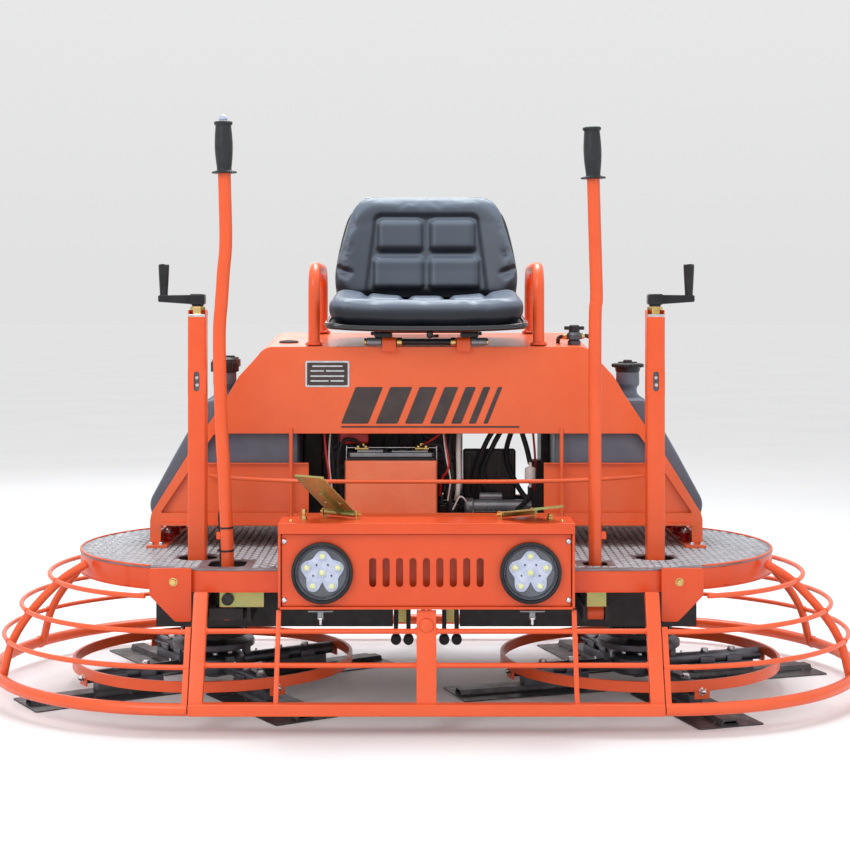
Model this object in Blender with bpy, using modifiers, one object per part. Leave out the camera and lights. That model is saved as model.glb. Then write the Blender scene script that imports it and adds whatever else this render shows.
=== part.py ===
"""Ride-on power trowel: two four-blade rotors under a ring-guarded deck with a seat over the engine.

Metres, +Z up. The origin is on the floor below the middle of the machine. The front faces -Y, and
left means -X, as somebody standing in front of the machine sees it.
"""

import math

import bmesh
import bpy
from mathutils import Matrix, Vector

GAP = 0.0004

# Deck
DECK_HALF_LENGTH = 0.800
DECK_HALF_DEPTH = 0.374
DECK_TOP = 0.320
DECK_PLATE = 0.004
SKIRT_BOTTOM = 0.270
SKIRT_WALL = 0.006
LEVER_HOLE_LEFT = (-0.429, -0.295, 0.081, 0.092)
LEVER_HOLE_RIGHT = (0.364, -0.295, 0.054, 0.060)
POST_HOLE_RADIUS = 0.044
ENGINE_HOLE = (0.29, 0.060, 0.328)

# Rotors
ROTOR_X = 0.495
ARM_ANGLES = {"left": -57.5, "right": -72.0}
ARM_Z = 0.046
ARM_RADIUS = 0.014
ARM_START = 0.0715
ARM_END = 0.3130
BLADE_INNER = 0.112
BLADE_OUTER = 0.456
BLADE_WIDTH = 0.150
BLADE_SHEET = 0.003
RING_OUTER = 0.322
RING_WALL = 0.006
RING_BOTTOM = 0.046
RING_TOP = 0.070
HUB_RADIUS = 0.070

# Guard: each ring is (half-width of the end, half-depth, height, tube radius)
GUARD_FOOT = (0.492, 0.497, 0.052, 0.013)
GUARD_RODS = ((0.475, 0.468, 0.132, 0.0055), (0.436, 0.437, 0.199, 0.0055), (0.372, 0.407, 0.266, 0.0055))
SUPPORT_Y = 0.200
SUPPORT_RADIUS = 0.0095
GATE_TOP = Vector((0.0, -0.392, 0.300))
GATE_FOOT = Vector((0.0, -0.497, 0.052))
GATE_HALF = 0.487

# Gearboxes and the crank posts that stand on them
TILT_Z = 0.208
RAIL_BOTTOM = 0.156
RAIL_TOP = 0.250
RAIL_INNER_Y = 0.112
RAIL_OUTER_Y = 0.150
POST_X = 0.505
POST_Y = -0.207
POST_SIDE = 0.040
POST_TOP = 0.866
CRANK_THROW = 0.075

# Steering levers
LEVER_Y = -0.295
LEVER_PIVOT_Z = 0.215
LEVER_RADIUS = 0.014
LEVER_LEFT_X = -0.429
LEVER_RIGHT_X = 0.364
GRIP_LENGTH = 0.112

# Seat housing
FRAME_FRONT_Y = -0.050
FRAME_REAR_Y = 0.330
FRAME_SHEET = 0.005
HOOD_TOP = 0.780
HOOD_RISE = 0.066
SEAT_HINGE = Vector((0.0, -0.056, 0.792))

# Lamp box
BOX_HALF = 0.309
BOX_FRONT = -0.430
BOX_BACK = -0.320
BOX_BOTTOM = 0.244
BOX_TOP = 0.424
BOX_SHEET = 0.004
LAMP_X = 0.217
LAMP_Z = 0.320
LAMP_RADIUS = 0.064

ORANGE = ("orange_paint", (0.80, 0.13, 0.045), 0.35, 0.0)
DARK = ("dark_paint", (0.030, 0.032, 0.036), 0.50, 0.2)
CHECKER = ("checker_plate", (0.66, 0.66, 0.69), 0.35, 0.9)
STEEL = ("blade_steel", (0.06, 0.062, 0.066), 0.45, 0.8)
ARM_STEEL = ("arm_steel", (0.20, 0.22, 0.25), 0.40, 0.8)
RUBBER = ("black_rubber", (0.022, 0.022, 0.026), 0.65, 0.0)
TANK = ("tank_plastic", (0.14, 0.155, 0.20), 0.55, 0.0)
BLACK = ("black_plastic", (0.020, 0.020, 0.022), 0.40, 0.0)
ZINC = ("yellow_zinc", (0.52, 0.43, 0.13), 0.35, 0.9)
VINYL = ("seat_vinyl", (0.045, 0.050, 0.062), 0.55, 0.0)
ENGINE = ("engine_casting", (0.10, 0.10, 0.11), 0.50, 0.6)
LAMP = ("lamp_housing", (0.03, 0.03, 0.035), 0.30, 0.0)


# ---------------------------------------------------------------- helpers

def clear_scene():
    for old in list(bpy.data.objects):
        bpy.data.objects.remove(old, do_unlink=True)


def make_collection(name):
    collection = bpy.data.collections.new(name)
    bpy.context.scene.collection.children.link(collection)
    return collection


clear_scene()
PARTS = make_collection("power_trowel")
CUTTERS = make_collection("cutters")


def material(finish):
    name, colour, roughness, metallic = finish
    found = bpy.data.materials.get(name)
    if found:
        return found
    made = bpy.data.materials.new(name)
    made.use_nodes = True
    shader = made.node_tree.nodes["Principled BSDF"]
    shader.inputs["Base Color"].default_value = (*colour, 1.0)
    shader.inputs["Roughness"].default_value = roughness
    shader.inputs["Metallic"].default_value = metallic
    made.diffuse_color = (*colour, 1.0)
    return made


def object_from(bm, matrix=None):
    """A scratch object in the cutters collection, with its faces pointing out."""
    if matrix is not None:
        bmesh.ops.transform(bm, matrix=matrix, verts=bm.verts)
    bmesh.ops.recalc_face_normals(bm, faces=bm.faces)
    mesh = bpy.data.meshes.new("shape")
    bm.to_mesh(mesh)
    bm.free()
    made = bpy.data.objects.new("shape", mesh)
    made.hide_render = True
    made.display_type = "WIRE"
    CUTTERS.objects.link(made)
    return made


def baked(source, matrix=None):
    """The object with its curve or modifiers turned into a welded mesh."""
    bpy.context.view_layer.update()
    graph = bpy.context.evaluated_depsgraph_get()
    mesh = bpy.data.meshes.new_from_object(source.evaluated_get(graph))
    place = source.matrix_world.copy()
    bm = bmesh.new()
    bm.from_mesh(mesh)
    bpy.data.meshes.remove(mesh)
    bpy.data.objects.remove(source, do_unlink=True)
    bmesh.ops.transform(bm, matrix=place, verts=bm.verts)
    bmesh.ops.remove_doubles(bm, verts=bm.verts, dist=1e-6)
    return object_from(bm, matrix)


def block(low, high, bevel=0.0):
    """A box between two corners, with its edges bevelled."""
    low = Vector(low)
    high = Vector(high)
    bm = bmesh.new()
    bmesh.ops.create_cube(bm, size=1.0)
    size = high - low
    bmesh.ops.transform(bm, matrix=Matrix.Diagonal((*size, 1.0)), verts=bm.verts)
    if bevel:
        bmesh.ops.bevel(bm, geom=bm.edges[:], offset=bevel, segments=2, affect="EDGES", profile=0.5)
    return object_from(bm, Matrix.Translation((low + high) / 2))


def rod(start, end, radius, segments=12, end_radius=None):
    """A cylinder or cone between two points."""
    start = Vector(start)
    end = Vector(end)
    bm = bmesh.new()
    far_radius = radius if end_radius is None else end_radius
    length = (end - start).length
    bmesh.ops.create_cone(bm, cap_ends=True, segments=segments, radius1=radius, radius2=far_radius, depth=length)
    turn = (end - start).to_track_quat("Z", "Y").to_matrix().to_4x4()
    return object_from(bm, Matrix.Translation((start + end) / 2) @ turn)


def tube(points, radius, resolution=2):
    """A bent tube with filled ends along the points."""
    curve = bpy.data.curves.new("tube", "CURVE")
    curve.dimensions = "3D"
    curve.bevel_depth = radius
    curve.bevel_resolution = resolution
    curve.resolution_u = 1
    curve.render_resolution_u = 0
    curve.use_fill_caps = True
    spline = curve.splines.new("POLY")
    spline.points.add(len(points) - 1)
    for point, place in zip(spline.points, points):
        point.co = (*place, 1.0)
    made = bpy.data.objects.new("tube", curve)
    CUTTERS.objects.link(made)
    return baked(made)


def sheet(outlines, thickness, place):
    """A flat plate from an outline and its holes, drawn in X and Y about its mid-plane."""
    curve = bpy.data.curves.new("sheet", "CURVE")
    curve.dimensions = "2D"
    curve.fill_mode = "BOTH"
    curve.extrude = thickness / 2
    for outline in outlines:
        spline = curve.splines.new("POLY")
        spline.points.add(len(outline) - 1)
        for point, (x, y) in zip(spline.points, outline):
            point.co = (x, y, 0.0, 1.0)
        spline.use_cyclic_u = True
    made = bpy.data.objects.new("sheet", curve)
    CUTTERS.objects.link(made)
    return baked(made, place)


def turned(profile, segments=24, place=None):
    """A body of revolution about Z: the profile of (radius, height) runs from top to bottom."""
    mesh = bpy.data.meshes.new("profile")
    points = [(radius, 0.0, height) for radius, height in profile]
    mesh.from_pydata(points, [(i, i + 1) for i in range(len(points) - 1)], [])
    made = bpy.data.objects.new("profile", mesh)
    CUTTERS.objects.link(made)
    screw = made.modifiers.new("Screw", "SCREW")
    screw.steps = segments
    screw.render_steps = segments
    screw.use_merge_vertices = True
    screw.merge_threshold = 1e-5
    return baked(made, place)


def flat(z):
    return Matrix.Translation((0.0, 0.0, z))


def upright(y):
    """Places a sheet drawn in X and Z in the plane at y."""
    return Matrix.Translation((0.0, y, 0.0)) @ Matrix.Rotation(math.radians(90), 4, "X")


def combined(first, others, operation):
    for other in others:
        boolean = first.modifiers.new("Boolean", "BOOLEAN")
        boolean.operation = operation
        boolean.solver = "EXACT"
        boolean.object = other
    result = baked(first)
    for other in others:
        bpy.data.objects.remove(other, do_unlink=True)
    return result


def joined(*pieces):
    return combined(pieces[0], pieces[1:], "UNION")


def cut(body, *tools):
    return combined(body, tools, "DIFFERENCE")


def rounded(body, radius, segments=2, angle=35):
    """The body with a bevel on its sharper edges."""
    bevel = body.modifiers.new("Bevel", "BEVEL")
    bevel.width = radius
    bevel.segments = segments
    bevel.limit_method = "ANGLE"
    bevel.angle_limit = math.radians(angle)
    return baked(body)


def part(name, shape, finish, origin=(0.0, 0.0, 0.0)):
    """Names the shape as a part, with its origin at the given point."""
    origin = Vector(origin)
    shape.data.transform(Matrix.Translation(-origin))
    shape.data.materials.clear()
    shape.data.materials.append(material(finish))
    shape.data.shade_smooth()
    shape.data.set_sharp_from_angle(angle=math.radians(35))
    shape.name = name
    shape.data.name = name
    shape.location = origin
    shape.hide_render = False
    shape.display_type = "TEXTURED"
    CUTTERS.objects.unlink(shape)
    PARTS.objects.link(shape)
    return shape


def arc(centre, radius, start, end, steps):
    """Points on an arc in a plane, from one angle in degrees to another."""
    points = []
    for i in range(steps + 1):
        angle = math.radians(start + (end - start) * i / steps)
        points.append((centre[0] + radius * math.cos(angle), centre[1] + radius * math.sin(angle)))
    return points


def circle(x, y, radius, steps=24):
    return arc((x, y), radius, 0, 360, steps)[:-1]


def rectangle(x, y, width, height, corner=0.0):
    """A rectangle about its centre, with rounded corners where a corner radius is given."""
    half_x = width / 2 - corner
    half_y = height / 2 - corner
    if not corner:
        return [(x - half_x, y - half_y), (x + half_x, y - half_y), (x + half_x, y + half_y), (x - half_x, y + half_y)]
    points = []
    for sign_x, sign_y, start in ((1, 1, 0), (-1, 1, 90), (-1, -1, 180), (1, -1, 270)):
        points += arc((x + sign_x * half_x, y + sign_y * half_y), corner, start, start + 90, 3)
    return points


def stadium(half_length, half_depth, steps=14):
    middle = half_length - half_depth
    return arc((middle, 0), half_depth, -90, 90, steps) + arc((-middle, 0), half_depth, 90, 270, steps)


def mirrored(half):
    """A closed outline from its right half, listed from the top middle down."""
    return half + [(-x, y) for x, y in reversed(half)]


SIDES = (("left", -1), ("right", 1))


# ---------------------------------------------------------------- deck and frame

def build_deck():
    holes = [
        rectangle(*LEVER_HOLE_LEFT, corner=0.020),
        rectangle(*LEVER_HOLE_RIGHT, corner=0.016),
        circle(POST_X, POST_Y, POST_HOLE_RADIUS, 20),
        circle(-POST_X, POST_Y, POST_HOLE_RADIUS, 20),
    ]
    half, front, back = ENGINE_HOLE
    holes.append(rectangle(0.0, (front + back) / 2, 2 * half, back - front))
    plate = sheet([stadium(DECK_HALF_LENGTH, DECK_HALF_DEPTH)] + holes, DECK_PLATE, flat(DECK_TOP - DECK_PLATE / 2))
    part("deck_plate", plate, CHECKER)


def gusset(side, facing):
    """The tapered plate that carries the ends of the gate and of the guard."""
    outline = [(0.584, 0.312), (0.584, 0.265), (0.530, 0.210), (0.499, 0.210), (0.499, 0.312)]
    y = facing * (DECK_HALF_DEPTH + 0.001)
    face = sheet([[(side * x, z) for x, z in outline]], 0.008, upright(y))
    flanges = []
    for low, high in ((0.500, 0.507), (0.576, 0.583)):
        across = sorted((side * low, side * high))
        along = sorted((facing * 0.330, facing * (DECK_HALF_DEPTH + 0.002)))
        flanges.append(block((across[0], along[0], 0.274), (across[1], along[1], 0.309)))
    return joined(face, *flanges)


def build_deck_frame():
    top = DECK_TOP - DECK_PLATE - GAP
    height = top - SKIRT_BOTTOM
    outer = stadium(DECK_HALF_LENGTH - 0.002, DECK_HALF_DEPTH - 0.002)
    inner = stadium(DECK_HALF_LENGTH - 0.002 - SKIRT_WALL, DECK_HALF_DEPTH - 0.002 - SKIRT_WALL)
    skirt = sheet([outer, inner], height, flat(SKIRT_BOTTOM + height / 2))
    extras = [gusset(side, facing) for _, side in SIDES for facing in (-1, 1)]
    reach = DECK_HALF_DEPTH - 0.005
    for x in (-0.300, 0.300):
        extras.append(block((x - 0.012, -reach, SKIRT_BOTTOM + 0.006), (x + 0.012, reach, top - 0.002)))
    for x in (-0.640, 0.640):
        extras.append(block((x - 0.010, -0.309, SKIRT_BOTTOM + 0.006), (x + 0.010, 0.309, top - 0.002)))
    part("deck_frame", joined(skirt, *extras), ORANGE)


def rail(side, facing):
    """A main rail: a deep channel from the middle gap to the outer end."""
    outline = [(0.075, RAIL_TOP), (0.606, RAIL_TOP), (0.606, RAIL_BOTTOM), (0.075, RAIL_BOTTOM)]
    middle = facing * (RAIL_INNER_Y + RAIL_OUTER_Y) / 2
    return sheet([[(side * x, z) for x, z in outline]], RAIL_OUTER_Y - RAIL_INNER_Y, upright(middle))


def lever_ears(x, spread):
    """Two ears that reach forward from the front rail to a steering lever's pivot."""
    ears = []
    for side in (-1, 1):
        middle = x + side * spread
        ears.append(block((middle - 0.004, LEVER_Y - 0.022, 0.198), (middle + 0.004, -0.130, 0.232)))
    return ears


def build_under_frame():
    pieces = []
    for _, side in SIDES:
        for facing in (-1, 1):
            pieces.append(rail(side, facing))
            low = min(facing * 0.120, facing * 0.142)
            for x in (0.300, 0.590):
                foot = Vector((side * x, low + 0.011, RAIL_TOP - 0.004))
                pieces.append(rod(foot, foot + Vector((0.0, 0.0, 0.0235)), 0.010))
        outer = sorted((side * 0.595, side * 0.606))
        pieces.append(block((outer[0], -0.125, 0.230), (outer[1], 0.125, 0.248)))
        inner = sorted((side * 0.290, side * 0.330))
        pieces.append(block((inner[0], -0.125, 0.197), (inner[1], 0.125, 0.248)))
    pieces.append(block((-0.295, -0.100, 0.234), (0.295, 0.125, 0.2495)))
    pieces += lever_ears(LEVER_LEFT_X, 0.048)
    pieces += lever_ears(LEVER_RIGHT_X, 0.024)
    part("under_frame", joined(*pieces), DARK)


# ---------------------------------------------------------------- guard and gate

def guard_path(ring, side, first_x):
    """Round one end of the guard, from the front at first_x to the middle of the back."""
    half_width, half_depth, height, _ = ring
    start = -90.0
    if first_x > ROTOR_X:
        start = -math.degrees(math.acos((first_x - ROTOR_X) / half_width))
    points = []
    steps = 16
    for i in range(steps + 1):
        angle = math.radians(start + (90 - start) * i / steps)
        points.append((ROTOR_X + half_width * math.cos(angle), half_depth * math.sin(angle), height))
    if first_x < ROTOR_X:
        points.insert(0, (first_x, -half_depth, height))
    points.append((0.0005, half_depth, height))
    return [(side * x, y, z) for x, y, z in points]


def support(side, facing):
    """A sloping tube from the deck's edge down to the foot ring, welded to the inside of each rod."""
    points = [(side * (DECK_HALF_LENGTH - 0.045), facing * SUPPORT_Y, 0.318)]
    for half_width, half_depth, height, _ in reversed((GUARD_FOOT,) + GUARD_RODS):
        reach = half_width * math.sqrt(1 - (SUPPORT_Y / half_depth) ** 2)
        points.append((side * (ROTOR_X + reach - 0.008), facing * SUPPORT_Y, height))
    return tube(points, SUPPORT_RADIUS)


def guard_strip(x, width, facing, top, thickness=0.006):
    """A flat strip in the sloping plane of the gate, from the foot up to the given height."""
    slope = GATE_TOP - GATE_FOOT
    start = GATE_FOOT - slope.normalized() * 0.008
    end = GATE_FOOT + slope * ((top - GATE_FOOT.z) / slope.z)
    angle = math.atan2(slope.y, slope.z)
    length = (end - start).length
    middle = (start + end) / 2
    bm = bmesh.new()
    bmesh.ops.create_cube(bm, size=1.0)
    bmesh.ops.transform(bm, matrix=Matrix.Diagonal((width, thickness, length, 1.0)), verts=bm.verts)
    lean = Matrix.Translation((x, middle.y, middle.z)) @ Matrix.Rotation(-angle, 4, "X")
    if facing > 0:
        lean = Matrix.Diagonal((1.0, -1.0, 1.0, 1.0)) @ lean
    return object_from(bm, lean)


def gate_y(z):
    share = (z - GATE_FOOT.z) / (GATE_TOP.z - GATE_FOOT.z)
    return GATE_FOOT.y + (GATE_TOP.y - GATE_FOOT.y) * share


def build_guards():
    for name, side in SIDES:
        pieces = [tube(guard_path(GUARD_FOOT, side, 0.4885), GUARD_FOOT[3], 2)]
        for ring in GUARD_RODS[:2]:
            pieces.append(tube(guard_path(ring, side, 0.4885), ring[3], 1))
        pieces.append(tube(guard_path(GUARD_RODS[2], side, 0.592), GUARD_RODS[2][3], 1))
        pieces += [support(side, facing) for facing in (-1, 1)]
        pieces.append(guard_strip(side * 0.4945, 0.012, -1, 0.207, 0.016))
        for x in (0.0075, 0.300):
            pieces.append(guard_strip(side * x, 0.012, 1, 0.290, 0.016))
        part(f"guard_{name}", joined(*pieces), ORANGE)


def build_gate():
    foot = block((-GATE_HALF, -0.510, 0.040), (GATE_HALF, -0.484, 0.065))
    pieces = [guard_strip(side * (GATE_HALF - 0.015), 0.0299, -1, 0.268, 0.018) for _, side in SIDES]
    pieces += [guard_strip(side * 0.308, 0.010, -1, 0.240, 0.010) for _, side in SIDES]
    pieces.append(guard_strip(0.0, 0.041, -1, 0.240, 0.012))
    for z in (0.135, 0.200):
        y = gate_y(z)
        pieces.append(rod((-0.460, y, z), (0.460, y, z), 0.0055, 8))
    boss_y = gate_y(0.212)
    pieces.append(rod((0.0, boss_y - 0.015, 0.212), (0.0, boss_y + 0.010, 0.212), 0.0145, 16))
    part("front_gate", joined(foot, *pieces), ORANGE)


# ---------------------------------------------------------------- lamp box and pedals

def build_lamp_box():
    top = block((-BOX_HALF, BOX_FRONT, BOX_TOP - 0.006), (BOX_HALF, BOX_BACK, BOX_TOP))
    bottom = block((-BOX_HALF, BOX_FRONT, BOX_BOTTOM), (BOX_HALF, -0.3805, BOX_BOTTOM + 0.006))
    pieces = [bottom]
    for _, side in SIDES:
        x = sorted((side * (BOX_HALF - 0.006), side * BOX_HALF))
        pieces.append(block((x[0], BOX_FRONT, BOX_BOTTOM), (x[1], -0.3805, BOX_TOP)))
    lip = block((-BOX_HALF, BOX_FRONT, 0.401), (BOX_HALF, BOX_FRONT + BOX_SHEET, BOX_TOP))
    leg = block((-BOX_HALF, BOX_BACK - 0.004, DECK_TOP + GAP), (BOX_HALF, BOX_BACK, BOX_TOP - 0.001))
    part("lamp_box", joined(top, *pieces, lip, leg), ORANGE)


def build_lamp_panel():
    z = (BOX_BOTTOM + 0.007 + 0.400) / 2
    holes = [circle(side * LAMP_X, LAMP_Z, LAMP_RADIUS - 0.006, 20) for _, side in SIDES]
    for column in range(9):
        holes.append(rectangle(0.028 * (column - 4), LAMP_Z, 0.016, 0.062))
    outline = rectangle(0.0, z, 2 * BOX_HALF - 0.014, 0.400 - BOX_BOTTOM - 0.007)
    panel = sheet([outline] + holes, BOX_SHEET, upright(BOX_FRONT + 0.0065))
    part("lamp_panel", panel, ORANGE)


def build_headlights():
    # The profile's top faces forward once the lamp is turned.
    profile = [
        (0.0, 0.004), (0.055, 0.004), (0.058, 0.010), (LAMP_RADIUS, 0.010), (LAMP_RADIUS, 0.0005),
        (0.055, 0.0005), (0.052, -0.022), (0.030, -0.036), (0.0, -0.036),
    ]
    for name, side in SIDES:
        place = Matrix.Translation((side * LAMP_X, BOX_FRONT + 0.004, LAMP_Z)) @ Matrix.Rotation(math.radians(90), 4, "X")
        part(f"headlight_{name}", turned(profile, 20, place), LAMP)


PEDAL_YAW = math.radians(38)


def pedal(name, hinge_x, rise, width, length, side):
    """A foot plate on a hinge tube behind the lamps, rising forward and outward."""
    hinge = Vector((hinge_x, -0.342, BOX_TOP + 0.010))
    plate = block((-width / 2, -length, 0.002), (width / 2, 0.004, 0.0045))
    barrel = rod((-width / 2 - 0.004, 0.0, 0.0), (width / 2 + 0.004, 0.0, 0.0), 0.006)
    web = block((-0.003, -length * 0.6, -0.006), (0.003, 0.0, 0.004))
    shape = joined(plate, barrel, web)
    turn = Matrix.Rotation(side * PEDAL_YAW, 4, "Z") @ Matrix.Rotation(-rise, 4, "X")
    shape.data.transform(Matrix.Translation(hinge) @ turn)
    part(name, shape, ZINC, hinge)


def build_pedals():
    pedal("throttle_pedal", -0.182, math.radians(38), 0.080, 0.134, -1)
    pedal("spray_pedal", 0.192, math.radians(9), 0.080, 0.106, 1)


# ---------------------------------------------------------------- seat housing

def slope_outline():
    """Right half of the housing's outline, from the top middle down to the foot and back inside."""
    shoulder = arc((0.352, HOOD_TOP - 0.040), 0.040, 90, 30, 4)
    return [(0.0, HOOD_TOP)] + shoulder + [(0.430, 0.712), (0.453, 0.662), (0.548, 0.528), (0.626, 0.418), (0.642, 0.390)]


def build_seat_frames():
    window = mirrored([(0.488, 0.582), (0.528, 0.513), (0.272, 0.513), (0.272, 0.393)])
    for name, y, facing in (("front", FRAME_FRONT_Y, -1), ("rear", FRAME_REAR_Y, 1)):
        outline = mirrored(slope_outline() + [(0.642, 0.334), (0.618, 0.334), (0.612, 0.370)])[1:]
        triangles = [[(s * 0.545, 0.398), (s * 0.600, 0.398), (s * 0.545, 0.478)] for s in (-1, 1)]
        plate = sheet([outline, window] + triangles, FRAME_SHEET, upright(y))
        pieces = []
        for _, side in SIDES:
            foot = sorted((side * 0.598, side * 0.642))
            ends = sorted((y + facing * 0.030, y - facing * 0.002))
            pieces.append(block((foot[0], ends[0], DECK_TOP + GAP), (foot[1], ends[1], DECK_TOP + 0.008)))
            leg = sorted((side * 0.620, side * 0.640))
            pieces.append(block((leg[0], y - 0.002, DECK_TOP + 0.004), (leg[1], y + 0.002, 0.345)))
            bar = side * 0.311
            pieces.append(rod((bar, y + facing * 0.004, 0.384), (bar, y + facing * 0.004, 0.592), 0.0045, 8))
        ends = sorted((y - facing * 0.001, y + facing * 0.014))
        pieces.append(block((-0.612, ends[0], 0.370), (0.612, ends[1], 0.376)))
        if facing < 0:
            pieces += front_frame_extras()
        part(f"seat_frame_{name}", joined(plate, *pieces), ORANGE)


def front_frame_extras():
    """The shin rail in front, and the two shelves that carry the tanks and reach the rear frame."""
    rail_points = []
    steps = 10
    for i in range(steps + 1):
        share = -1 + 2 * i / steps
        bow = 0.140 * (1 - share ** 4)
        rail_points.append((0.500 * share, FRAME_FRONT_Y - bow, 0.485))
    pieces = [tube(rail_points, 0.0045, 1)]
    for _, side in SIDES:
        shelf = sorted((side * 0.296, side * 0.632))
        pieces.append(block((shelf[0], FRAME_FRONT_Y - 0.001, 0.3705), (shelf[1], FRAME_REAR_Y - 0.004, 0.3755)))
        back = sorted((side * 0.535, side * 0.606))
        pieces.append(block((back[0], FRAME_FRONT_Y + 0.012, 0.374), (back[1], FRAME_FRONT_Y + 0.015, 0.490)))
    return pieces


def build_hood():
    """The folded top that joins the two frames under the seat, rising a little to the rear."""
    front = FRAME_FRONT_Y + FRAME_SHEET / 2 + GAP
    back = FRAME_REAR_Y - FRAME_SHEET / 2 - GAP
    wall = 0.004
    outer = [(0.0, HOOD_TOP)] + arc((0.352, HOOD_TOP - 0.040), 0.040, 90, 30, 4) + [(0.424, 0.684)]
    inner = [(0.420, 0.684)] + arc((0.352, HOOD_TOP - 0.040), 0.040 - wall, 30, 90, 4) + [(0.0, HOOD_TOP - wall)]
    right = outer[1:] + inner[:-1]
    left = [(-x, z) for x, z in reversed(right)]
    hood = sheet([right + left], back - front, upright((front + back) / 2))
    rise = Matrix.Identity(4)
    rise[2][1] = HOOD_RISE
    rise[2][3] = -HOOD_RISE * FRAME_FRONT_Y
    hood.data.transform(rise)
    drain = rod((-0.325, 0.060, 0.740), (-0.325, 0.060, 0.830), 0.0175, 16)
    part("seat_deck", cut(hood, drain), ORANGE)


def hood_top(y):
    return HOOD_TOP + HOOD_RISE * (y - FRAME_FRONT_Y)


def build_tanks():
    outline = [(0.300, 0.380), (0.628, 0.380), (0.648, 0.412), (0.573, 0.553), (0.524, 0.589), (0.520, 0.655), (0.300, 0.655)]
    front = FRAME_FRONT_Y + 0.018
    back = FRAME_REAR_Y - 0.020
    for name, side in (("fuel_tank", -1), ("water_tank", 1)):
        body = sheet([[(side * x, z) for x, z in outline]], back - front, upright((front + back) / 2))
        body = rounded(body, 0.010)
        neck = turned([(0.0, 0.716), (0.017, 0.716), (0.018, 0.690), (0.024, 0.672), (0.0245, 0.640), (0.0, 0.640)], 20)
        neck.data.transform(Matrix.Translation((side * 0.481, 0.100, 0.0)))
        part(name, joined(body, neck), TANK)


def build_caps():
    fuel = [(0.0, 0.752), (0.024, 0.752), (0.031, 0.746), (0.033, 0.738), (0.033, 0.7165), (0.0, 0.7165)]
    water = [
        (0.0, 0.746), (0.009, 0.746), (0.011, 0.739), (0.034, 0.738), (0.038, 0.733), (0.038, 0.7165), (0.0, 0.7165),
    ]
    for name, side, profile in (("fuel_cap", -1, fuel), ("water_cap", 1, water)):
        centre = Vector((side * 0.481, 0.100, 0.0))
        shape = turned(profile, 24, Matrix.Translation(centre))
        part(name, shape, BLACK, centre + Vector((0.0, 0.0, 0.7165)))


def build_armrests():
    for name, side in SIDES:
        x = side * 0.260
        front = -0.022
        back = 0.308
        top = 0.964
        bend = 0.055
        points = [(front, hood_top(front) + 0.002)]
        points += arc((front + bend, top - bend), bend, 180, 90, 5)
        points += arc((back - bend, top - bend), bend, 90, 0, 5)
        points.append((back, hood_top(back) + 0.002))
        hoop = tube([(x, y, z) for y, z in points], 0.0135, 2)
        feet = []
        for y in (front, back):
            foot = Vector((x, y, hood_top(y) + 0.0025))
            feet.append(rod(foot, foot + Vector((0.0, 0.0, 0.005)), 0.020, 16))
        part(f"armrest_{name}", joined(hoop, *feet), ORANGE)


def build_valve():
    body = Vector((0.345, 0.005, hood_top(0.005) + 0.0015))
    profile = [
        (0.0, 0.046), (0.011, 0.046), (0.013, 0.043), (0.013, 0.030), (0.019, 0.028),
        (0.019, 0.012), (0.015, 0.010), (0.015, 0.0), (0.0, 0.0),
    ]
    knob = turned(profile, 16, Matrix.Translation(body))
    grip = block(body + Vector((-0.022, -0.005, 0.034)), body + Vector((0.022, 0.005, 0.043)))
    part("valve_knob", joined(knob, grip), BLACK, body)


# ---------------------------------------------------------------- engine bay

def build_engine():
    crankcase = rounded(block((-0.225, 0.095, 0.2505), (0.040, 0.305, 0.430)), 0.014)
    pieces = []
    for lean in (-38, 38):
        turn = Matrix.Rotation(math.radians(lean), 4, "Y")
        base = Matrix.Translation((-0.095, 0.200, 0.370))
        barrel = rod((0.0, 0.0, 0.0), (0.0, 0.0, 0.190), 0.042, 12)
        barrel.data.transform(base @ turn)
        pieces.append(barrel)
        for i in range(4):
            fin = block((-0.056, -0.060, 0.088 + 0.022 * i), (0.056, 0.060, 0.095 + 0.022 * i))
            fin.data.transform(base @ turn)
            pieces.append(fin)
        head = block((-0.046, -0.052, 0.176), (0.046, 0.052, 0.205), 0.006)
        head.data.transform(base @ turn)
        pieces.append(head)
    pieces.append(rod((-0.095, 0.080, 0.350), (-0.095, 0.110, 0.350), 0.085, 20))
    can = [(0.0, 0.655), (0.052, 0.655), (0.062, 0.648), (0.062, 0.603), (0.024, 0.598), (0.024, 0.410), (0.0, 0.410)]
    pieces.append(turned(can, 20, Matrix.Translation((-0.095, 0.200, 0.0))))
    part("engine", joined(crankcase, *pieces), ENGINE)
    barrel = rod((0.070, 0.245, 0.345), (0.250, 0.245, 0.345), 0.042, 20)
    pipe = rod((0.085, 0.245, 0.345), (0.085, 0.245, 0.425), 0.014, 12)
    strap = rod((0.150, 0.245, 0.345), (0.170, 0.245, 0.345), 0.044, 20)
    part("muffler", joined(rounded(barrel, 0.008), pipe, strap), DARK)


def build_battery():
    low = Vector((-0.188, -0.036, 0.386))
    high = Vector((0.025, 0.062, 0.517))
    wall = Vector((0.004, 0.004, 0.004))
    tray = block(low, high)
    hollow = block(low + wall, (high.x - 0.004, high.y - 0.004, high.z + 0.010))
    legs = []
    for x in (-0.180, 0.017):
        legs.append(block((x - 0.010, -0.030, DECK_TOP + GAP), (x + 0.010, 0.056, low.z + 0.002)))
    part("battery_tray", joined(cut(tray, hollow), *legs), ORANGE)
    inside = 0.0046
    case = rounded(block((low.x + inside, low.y + inside, low.z + inside), (high.x - inside, high.y - inside, 0.536)), 0.003, 1)
    posts = [rod((x, 0.030, 0.530), (x, 0.030, 0.553), 0.008, 12) for x in (-0.150, -0.010)]
    part("battery", joined(case, *posts), BLACK)


# ---------------------------------------------------------------- gearboxes, cranks and rotors

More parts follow.
